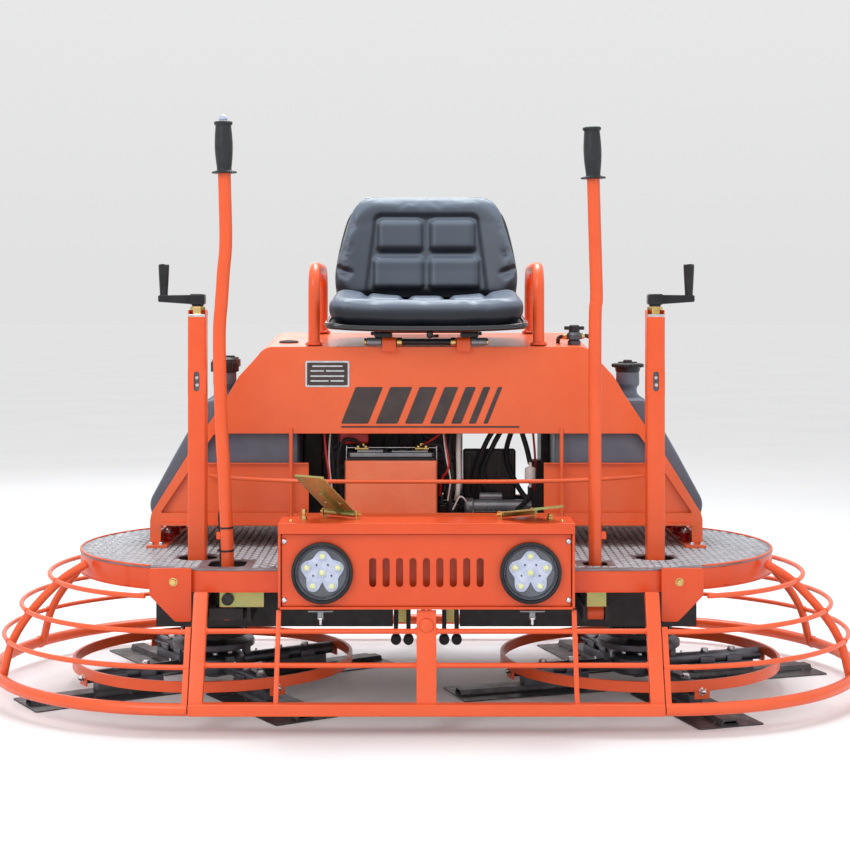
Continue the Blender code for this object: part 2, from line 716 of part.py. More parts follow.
def build_gearboxes():
    for name, side in SIDES:
        x = side * ROTOR_X
        case = rounded(block((x - 0.070, -0.074, 0.150), (x + 0.070, 0.074, 0.246)), 0.012)
        pieces = [
            rod((x, 0.0, 0.112), (x, 0.0, 0.160), 0.078, 24, 0.066),
            block((x - 0.045, POST_Y - 0.030, 0.2625), (x + 0.060, 0.040, 0.2705)),
            block((x - 0.035, -0.050, 0.240), (x + 0.035, 0.035, 0.266)),
        ]
        if name == "left":
            pieces.append(rod((x - 0.0785, 0.0, TILT_Z), (x + 0.0785, 0.0, TILT_Z), 0.014))
        else:
            pieces.append(rod((x, -0.1105, TILT_Z), (x, 0.1105, TILT_Z), 0.016))
        part(f"gearbox_{name}", joined(case, *pieces), DARK, (x, 0.0, TILT_Z))
    centre = Vector((-ROTOR_X, 0.0, TILT_Z))
    outer = block(centre - Vector((0.094, 0.100, 0.018)), centre + Vector((0.094, 0.100, 0.018)), 0.004)
    hollow = block(centre - Vector((0.080, 0.086, 0.040)), centre + Vector((0.080, 0.086, 0.040)))
    pins = [
        rod(centre + Vector((0.0, facing * 0.092, 0.0)), centre + Vector((0.0, facing * 0.1105, 0.0)), 0.012)
        for facing in (-1, 1)
    ]
    part("gearbox_yoke", joined(cut(outer, hollow), *pins), ARM_STEEL, centre)


def build_cranks():
    for name, side in SIDES:
        x = side * POST_X
        half = POST_SIDE / 2
        post = block((x - half, POST_Y - half, 0.2715), (x + half, POST_Y + half, POST_TOP), 0.003)
        notch = block((x - 0.030, POST_Y - half - 0.010, 0.852), (x + 0.030, POST_Y - half + 0.004, 0.880))
        slot = block((x - 0.0065, POST_Y - half - 0.010, 0.687), (x + 0.0065, POST_Y - half + 0.006, 0.731))
        foot = block((x - 0.034, POST_Y - 0.028, 0.271), (x + 0.034, POST_Y + 0.028, 0.277))
        bush = rod((x, POST_Y, 0.850), (x, POST_Y, 0.8765), 0.013, 16)
        part(f"crank_post_{name}", joined(cut(post, notch, slot), foot, bush), ORANGE)
        build_crank(name, side, x)


def build_crank(name, side, x):
    far = x + side * CRANK_THROW
    hub = turned([(0.0, 0.902), (0.013, 0.902), (0.017, 0.897), (0.017, 0.877), (0.0, 0.877)], 20)
    hub.data.transform(Matrix.Translation((x, POST_Y, 0.0)))
    arm = block((min(x, far), POST_Y - 0.009, 0.883), (max(x, far), POST_Y + 0.009, 0.893), 0.002)
    end = rod((far, POST_Y, 0.881), (far, POST_Y, 0.896), 0.0125, 16)
    part(f"crank_{name}", joined(hub, arm, end), BLACK, (x, POST_Y, 0.877))
    profile = [
        (0.0, 0.968), (0.007, 0.967), (0.0105, 0.962), (0.0105, 0.940), (0.009, 0.905),
        (0.0105, 0.900), (0.0105, 0.8965), (0.0, 0.8965),
    ]
    grip = turned(profile, 16, Matrix.Translation((far, POST_Y, 0.0)))
    part(f"crank_grip_{name}", grip, BLACK, (far, POST_Y, 0.8965))


def build_rotors():
    for name, side in SIDES:
        centre = Vector((side * ROTOR_X, 0.0, 0.0))
        place = Matrix.Translation(centre)
        hub_profile = [
            (0.0, 0.1115), (0.028, 0.1115), (0.030, 0.072), (0.058, 0.071), (HUB_RADIUS, 0.062),
            (HUB_RADIUS, 0.030), (0.060, 0.024), (0.0, 0.024),
        ]
        part(f"spider_{name}", turned(hub_profile, 24, place), ARM_STEEL, centre)
        plate = sheet([circle(0, 0, 0.095, 24), circle(0, 0, 0.0345, 16)], 0.016, flat(0.094))
        plate.data.transform(place)
        part(f"pressure_plate_{name}", plate, ARM_STEEL, centre + Vector((0.0, 0.0, 0.094)))
        build_ring(name, place, centre)
        for number in range(4):
            build_blade(name, number, place, centre)


def build_ring(name, place, centre):
    middle = (RING_BOTTOM + RING_TOP) / 2
    bands = [circle(0, 0, RING_OUTER, 40), circle(0, 0, RING_OUTER - RING_WALL, 40)]
    ring = sheet(bands, RING_TOP - RING_BOTTOM, flat(middle))
    tabs = []
    for number in range(4):
        tab = block((RING_OUTER - 0.0055, -0.018, 0.029), (RING_OUTER - 0.0005, 0.018, RING_TOP - 0.003))
        tab.data.transform(Matrix.Rotation(math.radians(ARM_ANGLES[name] + 90 * number), 4, "Z"))
        tabs.append(tab)
    ring = joined(ring, *tabs)
    ring.data.transform(place)
    part(f"ring_{name}", ring, ORANGE, centre)


def build_blade(name, number, place, centre):
    """A radial arm with its trowel blade below, drawn along X and then turned to its place."""
    half = BLADE_WIDTH / 2
    plate = block((BLADE_INNER, -half, 0.0), (BLADE_OUTER, half, BLADE_SHEET))
    rib = block((BLADE_INNER + 0.008, -0.020, 0.001), (BLADE_OUTER - 0.010, 0.020, 0.013))
    saddle = block((BLADE_INNER + 0.020, -0.017, 0.010), (0.292, 0.017, 0.036))
    arm = rod((ARM_START, 0.0, ARM_Z), (ARM_END, 0.0, ARM_Z), ARM_RADIUS, 10)
    finger = block((0.076, -0.010, ARM_Z), (0.092, 0.010, 0.0730))
    bolts = [rod((x, 0.0, ARM_Z), (x, 0.0, 0.066), 0.008, 6) for x in (0.170, 0.240)]
    shape = joined(plate, rib, saddle, arm, finger, *bolts)
    turn = Matrix.Rotation(math.radians(ARM_ANGLES[name] + 90 * number), 4, "Z")
    shape.data.transform(place @ turn)
    part(f"blade_{name}_{number + 1}", shape, STEEL, centre + Vector((0.0, 0.0, ARM_Z)))


# ---------------------------------------------------------------- steering levers

LEFT_LINE = [
    (-0.429, 0.240), (-0.429, 0.327), (-0.436, 0.499), (-0.443, 0.629), (-0.447, 0.806), (-0.442, 0.888),
    (-0.438, 0.950), (-0.433, 1.018), (-0.4385, 1.273),
]
RIGHT_LINE = [(0.364, 0.240), (0.364, 0.806), (0.367, 0.888), (0.366, 0.950), (0.357, 1.261)]


def lever_path(line):
    """The tube's centre line, in the upright plane of the pivots."""
    return [Vector((x, LEVER_Y, z)) for x, z in line]


def build_levers():
    for name, line, x in (("left", LEFT_LINE, LEVER_LEFT_X), ("right", RIGHT_LINE, LEVER_RIGHT_X)):
        path = lever_path(line)
        end = path[-1]
        back = (path[-2] - end).normalized()
        grip_foot = end + back * GRIP_LENGTH
        stem = tube(path[:-1] + [grip_foot], LEVER_RADIUS, 2)
        pivot = Vector((x, LEVER_Y, LEVER_PIVOT_Z))
        if name == "left":
            boss = rod(pivot - Vector((0.0, 0.016, 0.0)), pivot + Vector((0.0, 0.016, 0.0)), 0.016, 16)
        else:
            boss = rod(pivot - Vector((0.0185, 0.0, 0.0)), pivot + Vector((0.0185, 0.0, 0.0)), 0.016, 16)
        neck = rod(pivot, path[0] + Vector((0.0, 0.0, 0.006)), 0.011)
        lug_x = x + (0.018 if name == "right" else -0.018)
        lug = block((lug_x - 0.006, LEVER_Y - 0.004, 0.372), (lug_x + 0.006, LEVER_Y + 0.004, 0.388))
        part(f"lever_{name}", joined(stem, boss, neck, lug), ORANGE, pivot)
        build_lever_grip(name, end, grip_foot)
    build_lever_yoke()


def build_lever_grip(name, end, foot):
    length = (end - foot).length
    top = [(0.0, length)]
    if name == "left":
        top = [(0.0, length - 0.010), (0.009, length - 0.010), (0.009, length)]
    profile = top + [
        (0.021, length), (0.023, length - 0.002), (0.023, length - 0.005), (0.0185, length - 0.007),
        (0.0200, length * 0.66), (0.0205, length * 0.45), (0.0165, 0.009), (0.029, 0.006), (0.030, 0.003),
        (0.029, 0.0006), (0.0, 0.0006),
    ]
    turn = (end - foot).to_track_quat("Z", "Y").to_matrix().to_4x4()
    place = Matrix.Translation(foot) @ turn
    part(f"lever_grip_{name}", turned(profile, 18, place), RUBBER, foot)
    if name == "left":
        build_spray_button(place, length, end)


def build_spray_button(place, length, end):
    """The push button that stands in the recess at the top of the left grip."""
    profile = [
        (0.0, length + 0.011), (0.005, length + 0.010), (0.0082, length + 0.005), (0.0082, length - 0.006),
        (0.0, length - 0.006),
    ]
    part("spray_button", turned(profile, 16, place), ARM_STEEL, end)


def build_lever_yoke():
    """The ring of the left lever's universal joint: it turns in the ears and carries the lever."""
    centre = Vector((LEVER_LEFT_X, LEVER_Y, LEVER_PIVOT_Z))
    outer = block(centre - Vector((0.036, 0.028, 0.012)), centre + Vector((0.036, 0.028, 0.012)))
    hollow = block(centre - Vector((0.024, 0.0175, 0.030)), centre + Vector((0.024, 0.0175, 0.030)))
    pins = [
        rod(centre + Vector((side * 0.030, 0.0, 0.0)), centre + Vector((side * 0.0435, 0.0, 0.0)), 0.009)
        for side in (-1, 1)
    ]
    part("lever_yoke", joined(cut(outer, hollow), *pins), ARM_STEEL, centre)


# ---------------------------------------------------------------- seat

def build_seat_base():
    """The tipping frame: two slide rails on cross bars, hinged at the front edge of the hood."""
    front_y = SEAT_HINGE.y
    pieces = []
    for _, side in SIDES:
        rails = sorted((side * 0.085, side * 0.105))
        pieces.append(block((rails[0], front_y + 0.010, 0.812), (rails[1], 0.290, 0.820)))
        lug = sorted((side * 0.074, side * 0.102))
        pieces.append(block((lug[0], front_y - 0.008, SEAT_HINGE.z - 0.006), (lug[1], front_y + 0.016, 0.819)))
    for y in (0.010, 0.270):
        pieces.append(block((-0.095, y - 0.012, 0.810), (0.095, y + 0.012, 0.816)))
    bar = rod((-0.140, front_y, SEAT_HINGE.z), (0.140, front_y, SEAT_HINGE.z), 0.0075)
    part("seat_base", joined(bar, *pieces), DARK, SEAT_HINGE)


def grid_shell(rows, thickness, lift=0.0):
    """A closed shell from rows of points, listed front to back and then up, thickened towards the sitter."""
    bm = bmesh.new()
    verts = [[bm.verts.new(point) for point in row] for row in rows]
    for first, second in zip(verts, verts[1:]):
        for i in range(len(first) - 1):
            bm.faces.new((first[i], first[i + 1], second[i + 1], second[i]))
    mesh = bpy.data.meshes.new("shell")
    bm.to_mesh(mesh)
    bm.free()
    shell = bpy.data.objects.new("shell", mesh)
    CUTTERS.objects.link(shell)
    if lift:
        displace = shell.modifiers.new("Displace", "DISPLACE")
        displace.strength = lift
        displace.mid_level = 0.0
    solid = shell.modifiers.new("Solidify", "SOLIDIFY")
    solid.thickness = thickness
    solid.offset = 1.0
    return baked(shell)


def seat_row(half_width, y, z, rise, forward, count=8):
    """Points across the seat, curling up and forward towards the sides."""
    points = []
    for i in range(count + 1):
        share = -1 + 2 * i / count
        curl = abs(share) ** 3
        points.append((half_width * share, y - forward * curl, z + rise * curl))
    return points


def build_seat():
    pan_rows = [
        seat_row(0.200, -0.112, 0.824, 0.012, 0.0),
        seat_row(0.224, -0.085, 0.822, 0.018, 0.0),
        seat_row(0.224, 0.060, 0.824, 0.030, 0.0),
        seat_row(0.215, 0.190, 0.830, 0.045, 0.0),
        seat_row(0.212, 0.236, 0.870, 0.020, 0.018),
        seat_row(0.216, 0.258, 0.960, 0.0, 0.030),
        seat_row(0.190, 0.282, 1.080, 0.0, 0.024),
        seat_row(0.160, 0.288, 1.120, 0.0, 0.014),
    ]
    part("seat_pan", grid_shell(pan_rows, 0.004), BLACK)
    cushion_rows = [
        seat_row(0.196, -0.098, 0.823, 0.014, 0.0),
        seat_row(0.206, 0.050, 0.824, 0.026, 0.0),
        seat_row(0.200, 0.158, 0.829, 0.038, 0.0),
    ]
    part("seat_cushion", rounded(grid_shell(cushion_rows, 0.066, 0.007), 0.014, 1, 60), VINYL)
    back_rows = [
        seat_row(0.196, 0.248, 0.920, 0.0, 0.026),
        seat_row(0.196, 0.258, 0.965, 0.0, 0.028),
        seat_row(0.172, 0.281, 1.080, 0.0, 0.022),
        seat_row(0.150, 0.286, 1.108, 0.0, 0.014),
    ]
    part("seat_back", rounded(grid_shell(back_rows, 0.046, 0.007), 0.012, 1, 60), VINYL)
    build_seat_lever()


def build_seat_lever():
    pivot = Vector((0.020, -0.020, 0.805))
    arm = rod(pivot, pivot + Vector((-0.011, -0.086, 0.0)), 0.0035, 8)
    ball = bmesh.new()
    bmesh.ops.create_uvsphere(ball, u_segments=10, v_segments=8, radius=0.008)
    knob = object_from(ball, Matrix.Translation(pivot + Vector((-0.012, -0.092, 0.004))))
    eye = rod(pivot - Vector((0.0, 0.0, 0.0035)), pivot + Vector((0.0, 0.0, 0.0035)), 0.009)
    part("seat_adjust_lever", joined(arm, knob, eye), BLACK, pivot)


def main():
    build_deck()
    build_deck_frame()
    build_under_frame()
    build_guards()
    build_gate()
    build_lamp_box()
    build_lamp_panel()
    build_headlights()
    build_pedals()
    build_seat_frames()
    build_hood()
    build_tanks()
    build_caps()
    build_armrests()
    build_valve()
    build_engine()
    build_battery()
    build_gearboxes()
    build_cranks()
    build_rotors()
    build_levers()
    build_seat_base()
    build_seat()


main()
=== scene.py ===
"""Looks of the ride-on power trowel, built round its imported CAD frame.

Metres, +Z up. The front faces -Y, and left means -X, as seen from in front of the machine.
"""

import math

import bmesh
import bpy
from mathutils import Matrix, Vector


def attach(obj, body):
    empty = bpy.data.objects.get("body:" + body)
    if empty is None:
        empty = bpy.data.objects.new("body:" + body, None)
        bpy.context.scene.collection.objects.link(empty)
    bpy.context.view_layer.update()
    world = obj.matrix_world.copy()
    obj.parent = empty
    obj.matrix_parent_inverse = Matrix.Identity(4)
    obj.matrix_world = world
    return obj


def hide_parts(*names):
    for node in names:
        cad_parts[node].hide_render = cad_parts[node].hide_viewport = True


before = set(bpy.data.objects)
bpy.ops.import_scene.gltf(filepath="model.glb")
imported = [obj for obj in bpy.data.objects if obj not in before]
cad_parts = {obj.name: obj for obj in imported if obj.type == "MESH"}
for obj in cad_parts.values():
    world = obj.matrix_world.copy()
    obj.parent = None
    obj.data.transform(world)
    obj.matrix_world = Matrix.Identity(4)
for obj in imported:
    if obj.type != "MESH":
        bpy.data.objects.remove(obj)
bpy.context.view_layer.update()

SIDES = (("left", -1), ("right", 1))
ROTOR_X = 0.495
DECK_TOP = 0.32
POST_X = 0.505
POST_Y = -0.207
FRONT_Y = -0.05
REAR_Y = 0.33
HOOD_TOP = 0.78
HOOD_RISE = 0.066


# ---------------------------------------------------------------- finishes

def finish(
    name, dark, light, rough, metallic=0.0, scale=9.0, bumps=(), dust=None, wear=None, coat=0.0, coat_rough=0.12,
    sheen=0.0, sheen_tint=(1.0, 1.0, 1.0), specular=0.5, painted_highlight=None,
):
    """A procedural material: its colour drifts between two, its roughness varies, and each bump adds relief.

    rough is the lowest and highest roughness. A bump is (texture, scale, strength, depth). dust is
    (colour, most, scale), and wear is (colour, width) for the bare edges. painted_highlight is the colour of a
    painted highlight on faces that look up, standing in for reflected light from above.
    """
    made = bpy.data.materials.new(name)
    made.use_nodes = True
    tree = made.node_tree
    shader = tree.nodes["Principled BSDF"]
    shader.inputs["Metallic"].default_value = metallic
    shader.inputs["Coat Weight"].default_value = coat
    shader.inputs["Coat Roughness"].default_value = coat_rough
    shader.inputs["Sheen Weight"].default_value = sheen
    shader.inputs["Specular IOR Level"].default_value = specular
    shader.inputs["Sheen Tint"].default_value = (*sheen_tint, 1.0)
    place = tree.nodes.new("ShaderNodeTexCoord").outputs["Object"]

    def texture(kind, size, **settings):
        node = tree.nodes.new(kind)
        node.inputs["Scale"].default_value = size
        for key, value in settings.items():
            node.inputs[key].default_value = value
        tree.links.new(place, node.inputs["Vector"])
        return node.outputs["Distance" if kind == "ShaderNodeTexVoronoi" else 0]

    def ranged(source, start, end, low, high):
        node = tree.nodes.new("ShaderNodeMapRange")
        tree.links.new(source, node.inputs["Value"])
        for key, value in (("From Min", start), ("From Max", end), ("To Min", low), ("To Max", high)):
            node.inputs[key].default_value = value
        return node.outputs["Result"]

    def mixed(share, first, second):
        node = tree.nodes.new("ShaderNodeMix")
        node.data_type = "RGBA"
        tree.links.new(share, node.inputs[0])
        for socket, value in ((node.inputs[6], first), (node.inputs[7], second)):
            if isinstance(value, tuple):
                socket.default_value = (*value, 1.0)
            else:
                tree.links.new(value, socket)
        return node.outputs[2]

    def product(first, second):
        node = tree.nodes.new("ShaderNodeMath")
        node.operation = "MULTIPLY"
        tree.links.new(first, node.inputs[0])
        tree.links.new(second, node.inputs[1])
        return node.outputs[0]

    drift = texture("ShaderNodeTexNoise", scale, Detail=5.0, Roughness=0.6)
    colour = mixed(ranged(drift, 0.35, 0.65, 0.0, 1.0), dark, light)
    if dust:
        patches = texture("ShaderNodeTexNoise", dust[2], Detail=8.0, Roughness=0.7)
        colour = mixed(ranged(patches, 0.5, 0.75, 0.0, dust[1]), colour, dust[0])
    if wear:
        bevel = tree.nodes.new("ShaderNodeBevel")
        bevel.samples = 4
        bevel.inputs["Radius"].default_value = wear[1]
        flat_normal = tree.nodes.new("ShaderNodeNewGeometry").outputs["Normal"]
        dot = tree.nodes.new("ShaderNodeVectorMath")
        dot.operation = "DOT_PRODUCT"
        tree.links.new(bevel.outputs["Normal"], dot.inputs[0])
        tree.links.new(flat_normal, dot.inputs[1])
        edges = ranged(dot.outputs["Value"], 0.93, 0.8, 0.0, 1.0)
        chips = ranged(texture("ShaderNodeTexNoise", 60.0, Detail=6.0), 0.52, 0.6, 0.0, 0.7)
        colour = mixed(product(edges, chips), colour, wear[0])
    # Painted highlight: faces that look up are mixed towards a pale colour, standing in for reflected light from above.
    if painted_highlight:
        facing = tree.nodes.new("ShaderNodeSeparateXYZ")
        tree.links.new(tree.nodes.new("ShaderNodeNewGeometry").outputs["Normal"], facing.inputs[0])
        painted_highlight_share = ranged(facing.outputs["Z"], -0.1, 0.45, 0.0, 1.0)
        painted_highlight_share.node.interpolation_type = "SMOOTHSTEP"
        colour = mixed(painted_highlight_share, colour, painted_highlight)
    tree.links.new(colour, shader.inputs["Base Color"])
    smears = texture("ShaderNodeTexNoise", scale * 2.7, Detail=6.0, Roughness=0.65)
    tree.links.new(ranged(smears, 0.3, 0.7, rough[0], rough[1]), shader.inputs["Roughness"])
    normal = None
    for kind, size, strength, depth in bumps:
        bump = tree.nodes.new("ShaderNodeBump")
        bump.inputs["Strength"].default_value = strength
        bump.inputs["Distance"].default_value = depth
        tree.links.new(texture(kind, size), bump.inputs["Height"])
        if normal:
            tree.links.new(normal, bump.inputs["Normal"])
        normal = bump.outputs["Normal"]
    if normal:
        tree.links.new(normal, shader.inputs["Normal"])
    return made


NOISE = "ShaderNodeTexNoise"
CELLS = "ShaderNodeTexVoronoi"


def enamel(name, dark, light, coat):
    """The machine's orange paint, made in copies that paint light and shade: a deeper one paints shade, paler ones
    paint light.
    """
    return finish(
        name, dark, light, (0.3, 0.42), coat=coat, bumps=((NOISE, 420.0, 0.05, 0.0005), (NOISE, 45.0, 0.04, 0.0015)),
        dust=((0.66, 0.15, 0.07), 0.1, 24.0), wear=((0.46, 0.075, 0.03), 0.0008),
    )


ORANGE = enamel("orange_enamel", (0.78, 0.091, 0.015), (0.82, 0.104, 0.02), 0.14)
# Painted shade: a darker copy of the orange, for the lamp box, its panel and backing, and the deck skirt.
PAINTED_SHADE_ORANGE = enamel("orange_enamel_painted_shade", (0.69, 0.066, 0.006), (0.735, 0.078, 0.01), 0.12)
# Painted light: a paler copy of the orange, for the housing frames and the hood.
PAINTED_LIGHT_HOOD_ORANGE = enamel("orange_enamel_hood_painted_light", (0.8, 0.12, 0.028), (0.84, 0.138, 0.038), 0.16)
# Painted light: the palest copy of the orange, for the battery tray under the hood.
PAINTED_LIGHT_PALE_ORANGE = enamel("orange_enamel_pale_painted_light", (0.86, 0.17, 0.07), (0.92, 0.24, 0.12), 0.2)
DARK = finish(
    "chassis_black", (0.012, 0.0125, 0.014), (0.024, 0.025, 0.028), (0.4, 0.6), scale=20.0,
    bumps=((NOISE, 300.0, 0.15, 0.0006),), dust=((0.07, 0.066, 0.062), 0.35, 30.0), wear=((0.14, 0.14, 0.15), 0.001),
)
PLATE = finish(
    "tread_plate", (0.17, 0.172, 0.19), (0.29, 0.292, 0.31), (0.34, 0.56), 0.8, 16.0,
    bumps=((NOISE, 260.0, 0.12, 0.0005),), dust=((0.12, 0.115, 0.125), 0.6, 34.0),
)
TREAD = finish(
    "tread_bright", (0.4, 0.4, 0.425), (0.54, 0.54, 0.565), (0.26, 0.42), 0.8, 40.0,
    bumps=((NOISE, 500.0, 0.06, 0.0003),),
)
BLADE = finish(
    "blade_sheet", (0.045, 0.046, 0.05), (0.095, 0.097, 0.103), (0.3, 0.55), 0.7, 14.0,
    bumps=((NOISE, 120.0, 0.1, 0.0006), (NOISE, 700.0, 0.1, 0.0003)),
    dust=((0.17, 0.16, 0.155), 0.4, 26.0), wear=((0.34, 0.34, 0.35), 0.0012),
)
ARM = finish(
    "machined_steel", (0.085, 0.095, 0.112), (0.165, 0.178, 0.205), (0.3, 0.5), 0.8, 22.0,
    bumps=((NOISE, 340.0, 0.1, 0.0004),), dust=((0.14, 0.12, 0.1), 0.35, 40.0),
)
BRIGHT = finish(
    "bright_zinc", (0.6, 0.61, 0.63), (0.78, 0.79, 0.81), (0.16, 0.32), 1.0, 60.0,
    bumps=((NOISE, 600.0, 0.08, 0.0002),),
)
ZINC = finish(
    "yellow_chromate", (0.44, 0.36, 0.12), (0.34, 0.37, 0.14), (0.22, 0.38), 0.7, 18.0,
    bumps=((NOISE, 380.0, 0.08, 0.0004),), dust=((0.6, 0.38, 0.26), 0.15, 12.0), wear=((0.75, 0.7, 0.52), 0.001),
)
BRASS = finish(
    "turned_brass", (0.62, 0.42, 0.13), (0.8, 0.6, 0.25), (0.18, 0.34), 1.0, 70.0,
    bumps=((NOISE, 600.0, 0.08, 0.0002),),
)
RUBBER = finish(
    "moulded_rubber", (0.01, 0.0105, 0.012), (0.019, 0.0195, 0.022), (0.42, 0.62), scale=30.0, sheen=0.04,
    specular=0.36,
    bumps=((CELLS, 900.0, 0.18, 0.0003), (NOISE, 60.0, 0.06, 0.001)), dust=((0.045, 0.045, 0.048), 0.25, 50.0),
)
BLACK = finish(
    "black_moulding", (0.008, 0.008, 0.01), (0.016, 0.0165, 0.019), (0.24, 0.42), scale=25.0, coat=0.1, specular=0.34,
    bumps=((NOISE, 480.0, 0.1, 0.0004),), dust=((0.04, 0.04, 0.042), 0.2, 40.0),
)
TANK = finish(
    "tank_polymer", (0.088, 0.104, 0.14), (0.118, 0.136, 0.176), (0.4, 0.56), scale=7.0,
    bumps=((NOISE, 520.0, 0.2, 0.0005), (NOISE, 26.0, 0.12, 0.003)), dust=((0.17, 0.18, 0.21), 0.2, 14.0),
)
# The vinyl carries a painted highlight: a pale blue on its upward faces stands in for reflected light from above.
VINYL = finish(
    "grained_vinyl", (0.01, 0.012, 0.018), (0.016, 0.019, 0.027), (0.36, 0.48), scale=6.0, coat=0.2, coat_rough=0.34,
    sheen=0.05, sheen_tint=(0.6, 0.75, 1.0), specular=0.24, painted_highlight=(0.12, 0.15, 0.195),
    bumps=((CELLS, 620.0, 0.22, 0.0004), (NOISE, 38.0, 0.1, 0.002)),
)
CAST = finish(
    "cast_aluminium", (0.045, 0.05, 0.058), (0.08, 0.086, 0.098), (0.4, 0.58), 0.6, 16.0,
    bumps=((NOISE, 420.0, 0.2, 0.0005),), dust=((0.05, 0.045, 0.042), 0.3, 24.0),
)
GREY = finish(
    "satin_grey", (0.2, 0.21, 0.23), (0.28, 0.29, 0.31), (0.24, 0.36), 0.6, 20.0,
    bumps=((NOISE, 300.0, 0.05, 0.0003),),
)
REFLECTOR = finish(
    "lamp_reflector", (0.095, 0.1, 0.118), (0.15, 0.156, 0.178), (0.22, 0.36), 0.5, 14.0,
    bumps=((NOISE, 300.0, 0.04, 0.0003),),
)
BOARD = finish(
    "lamp_board", (0.42, 0.47, 0.62), (0.58, 0.63, 0.77), (0.22, 0.4), scale=60.0,
    bumps=((NOISE, 500.0, 0.08, 0.0003),),
)
LED = finish(
    "lamp_led", (0.64, 0.68, 0.3), (0.8, 0.82, 0.48), (0.08, 0.16), scale=140.0, coat=0.8,
    bumps=((NOISE, 300.0, 0.03, 0.0002),),
)
DECAL = finish(
    "decal_film", (0.04, 0.028, 0.028), (0.058, 0.042, 0.04), (0.3, 0.45), scale=30.0,
    bumps=((NOISE, 300.0, 0.04, 0.0002),),
)
GRIP = finish(
    "grip_rubber", (0.014, 0.016, 0.019), (0.022, 0.025, 0.029), (0.44, 0.6), scale=24.0, sheen=0.04, specular=0.35,
    bumps=((CELLS, 800.0, 0.14, 0.0003), (NOISE, 50.0, 0.05, 0.001)), dust=((0.045, 0.047, 0.052), 0.25, 40.0),
)
GLOSS = finish(
    "gloss_black", (0.006, 0.007, 0.01), (0.011, 0.012, 0.016), (0.16, 0.26), scale=12.0, coat=0.6, coat_rough=0.16,
    bumps=((NOISE, 60.0, 0.05, 0.001),),
)
RED = finish(
    "red_cable", (0.42, 0.012, 0.012), (0.56, 0.022, 0.018), (0.3, 0.45), scale=40.0,
    bumps=((NOISE, 420.0, 0.08, 0.0003),),
)
HOSE = finish(
    "pale_hose", (0.62, 0.56, 0.54), (0.74, 0.68, 0.64), (0.35, 0.5), scale=40.0,
    bumps=((NOISE, 420.0, 0.1, 0.0003),),
)

SLOTS = {
    PLATE: "checker_plate", TREAD: "checker_plate",
    DARK: "dark_paint", DECAL: "dark_paint",
    BRASS: "yellow_zinc", ZINC: "yellow_zinc",
    ORANGE: "orange_paint", PAINTED_SHADE_ORANGE: "orange_paint", PAINTED_LIGHT_HOOD_ORANGE: "orange_paint",
    PAINTED_LIGHT_PALE_ORANGE: "orange_paint",
    BRIGHT: "arm_steel", GREY: "arm_steel", ARM: "arm_steel",
    BLACK: "black_plastic", GLOSS: "black_plastic",
    REFLECTOR: "lamp_housing", BOARD: "lamp_housing", LED: "lamp_housing",
    RUBBER: "black_rubber", RED: "black_rubber", GRIP: "black_rubber",
    TANK: "tank_plastic", HOSE: "tank_plastic",
    CAST: "engine_casting",
    BLADE: "blade_steel",
}


# ---------------------------------------------------------------- shapes

def turned(degrees, axis):
    return Matrix.Rotation(math.radians(degrees), 4, axis)


def flat(z):
    return Matrix.Translation((0.0, 0.0, z))


def upright(y):
    """Places a plate drawn in X and Z in the plane at y."""
    return Matrix.Translation((0.0, y, 0.0)) @ turned(90, "X")


def along(start, end):
    """Stands +Z on the start, pointing at the end."""
    start = Vector(start)
    return Matrix.Translation(start) @ (Vector(end) - start).to_track_quat("Z", "Y").to_matrix().to_4x4()


def arc(centre, radius, start, end, steps):
    points = []
    for i in range(steps + 1):
        angle = math.radians(start + (end - start) * i / steps)
        points.append((centre[0] + radius * math.cos(angle), centre[1] + radius * math.sin(angle)))
    return points


def circle(x, y, radius, steps=40):
    return arc((x, y), radius, 0, 360, steps)[:-1]


def rectangle(x, y, width, height, corner=0.001):
    points = []
    for sign_x, sign_y, start in ((1, 1, 0), (-1, 1, 90), (-1, -1, 180), (1, -1, 270)):
        centre = (x + sign_x * (width / 2 - corner), y + sign_y * (height / 2 - corner))
        points += arc(centre, corner, start, start + 90, 5)
    return points


def stadium(half_length, half_depth, steps=48):
    middle = half_length - half_depth
    return arc((middle, 0), half_depth, -90, 90, steps) + arc((-middle, 0), half_depth, 90, 270, steps)


def softened(points, radius, steps=4):
    """A closed outline with its corners rounded."""
    result = []
    count = len(points)
    for i in range(count):
        before, here, after = (Vector(points[(i + k) % count]) for k in (-1, 0, 1))
        cut = min(radius, (before - here).length * 0.45, (after - here).length * 0.45)
        first = here + (before - here).normalized() * cut
        last = here + (after - here).normalized() * cut
        for k in range(steps + 1):
            t = k / steps
            result.append(tuple(first * (1 - t) ** 2 + here * 2 * t * (1 - t) + last * t * t))
    return result


def smooth_path(points, steps=8):
    """A Catmull-Rom curve through the points."""
    points = [Vector(point) for point in points]
    ends = [points[0] * 2 - points[1]] + points + [points[-1] * 2 - points[-2]]
    result = []
    for a, b, c, d in zip(ends, ends[1:], ends[2:], ends[3:]):
        for k in range(steps):
            t = k / steps
            result.append(0.5 * (
                2 * b + (c - a) * t + (2 * a - 5 * b + 4 * c - d) * t * t + (3 * b - a - 3 * c + d) * t ** 3
            ))
    return result + [points[-1]]


def placed(name, data):
    """An object with this data, in the scene."""
    made = bpy.data.objects.new(name, data)
    bpy.context.scene.collection.objects.link(made)
    return made


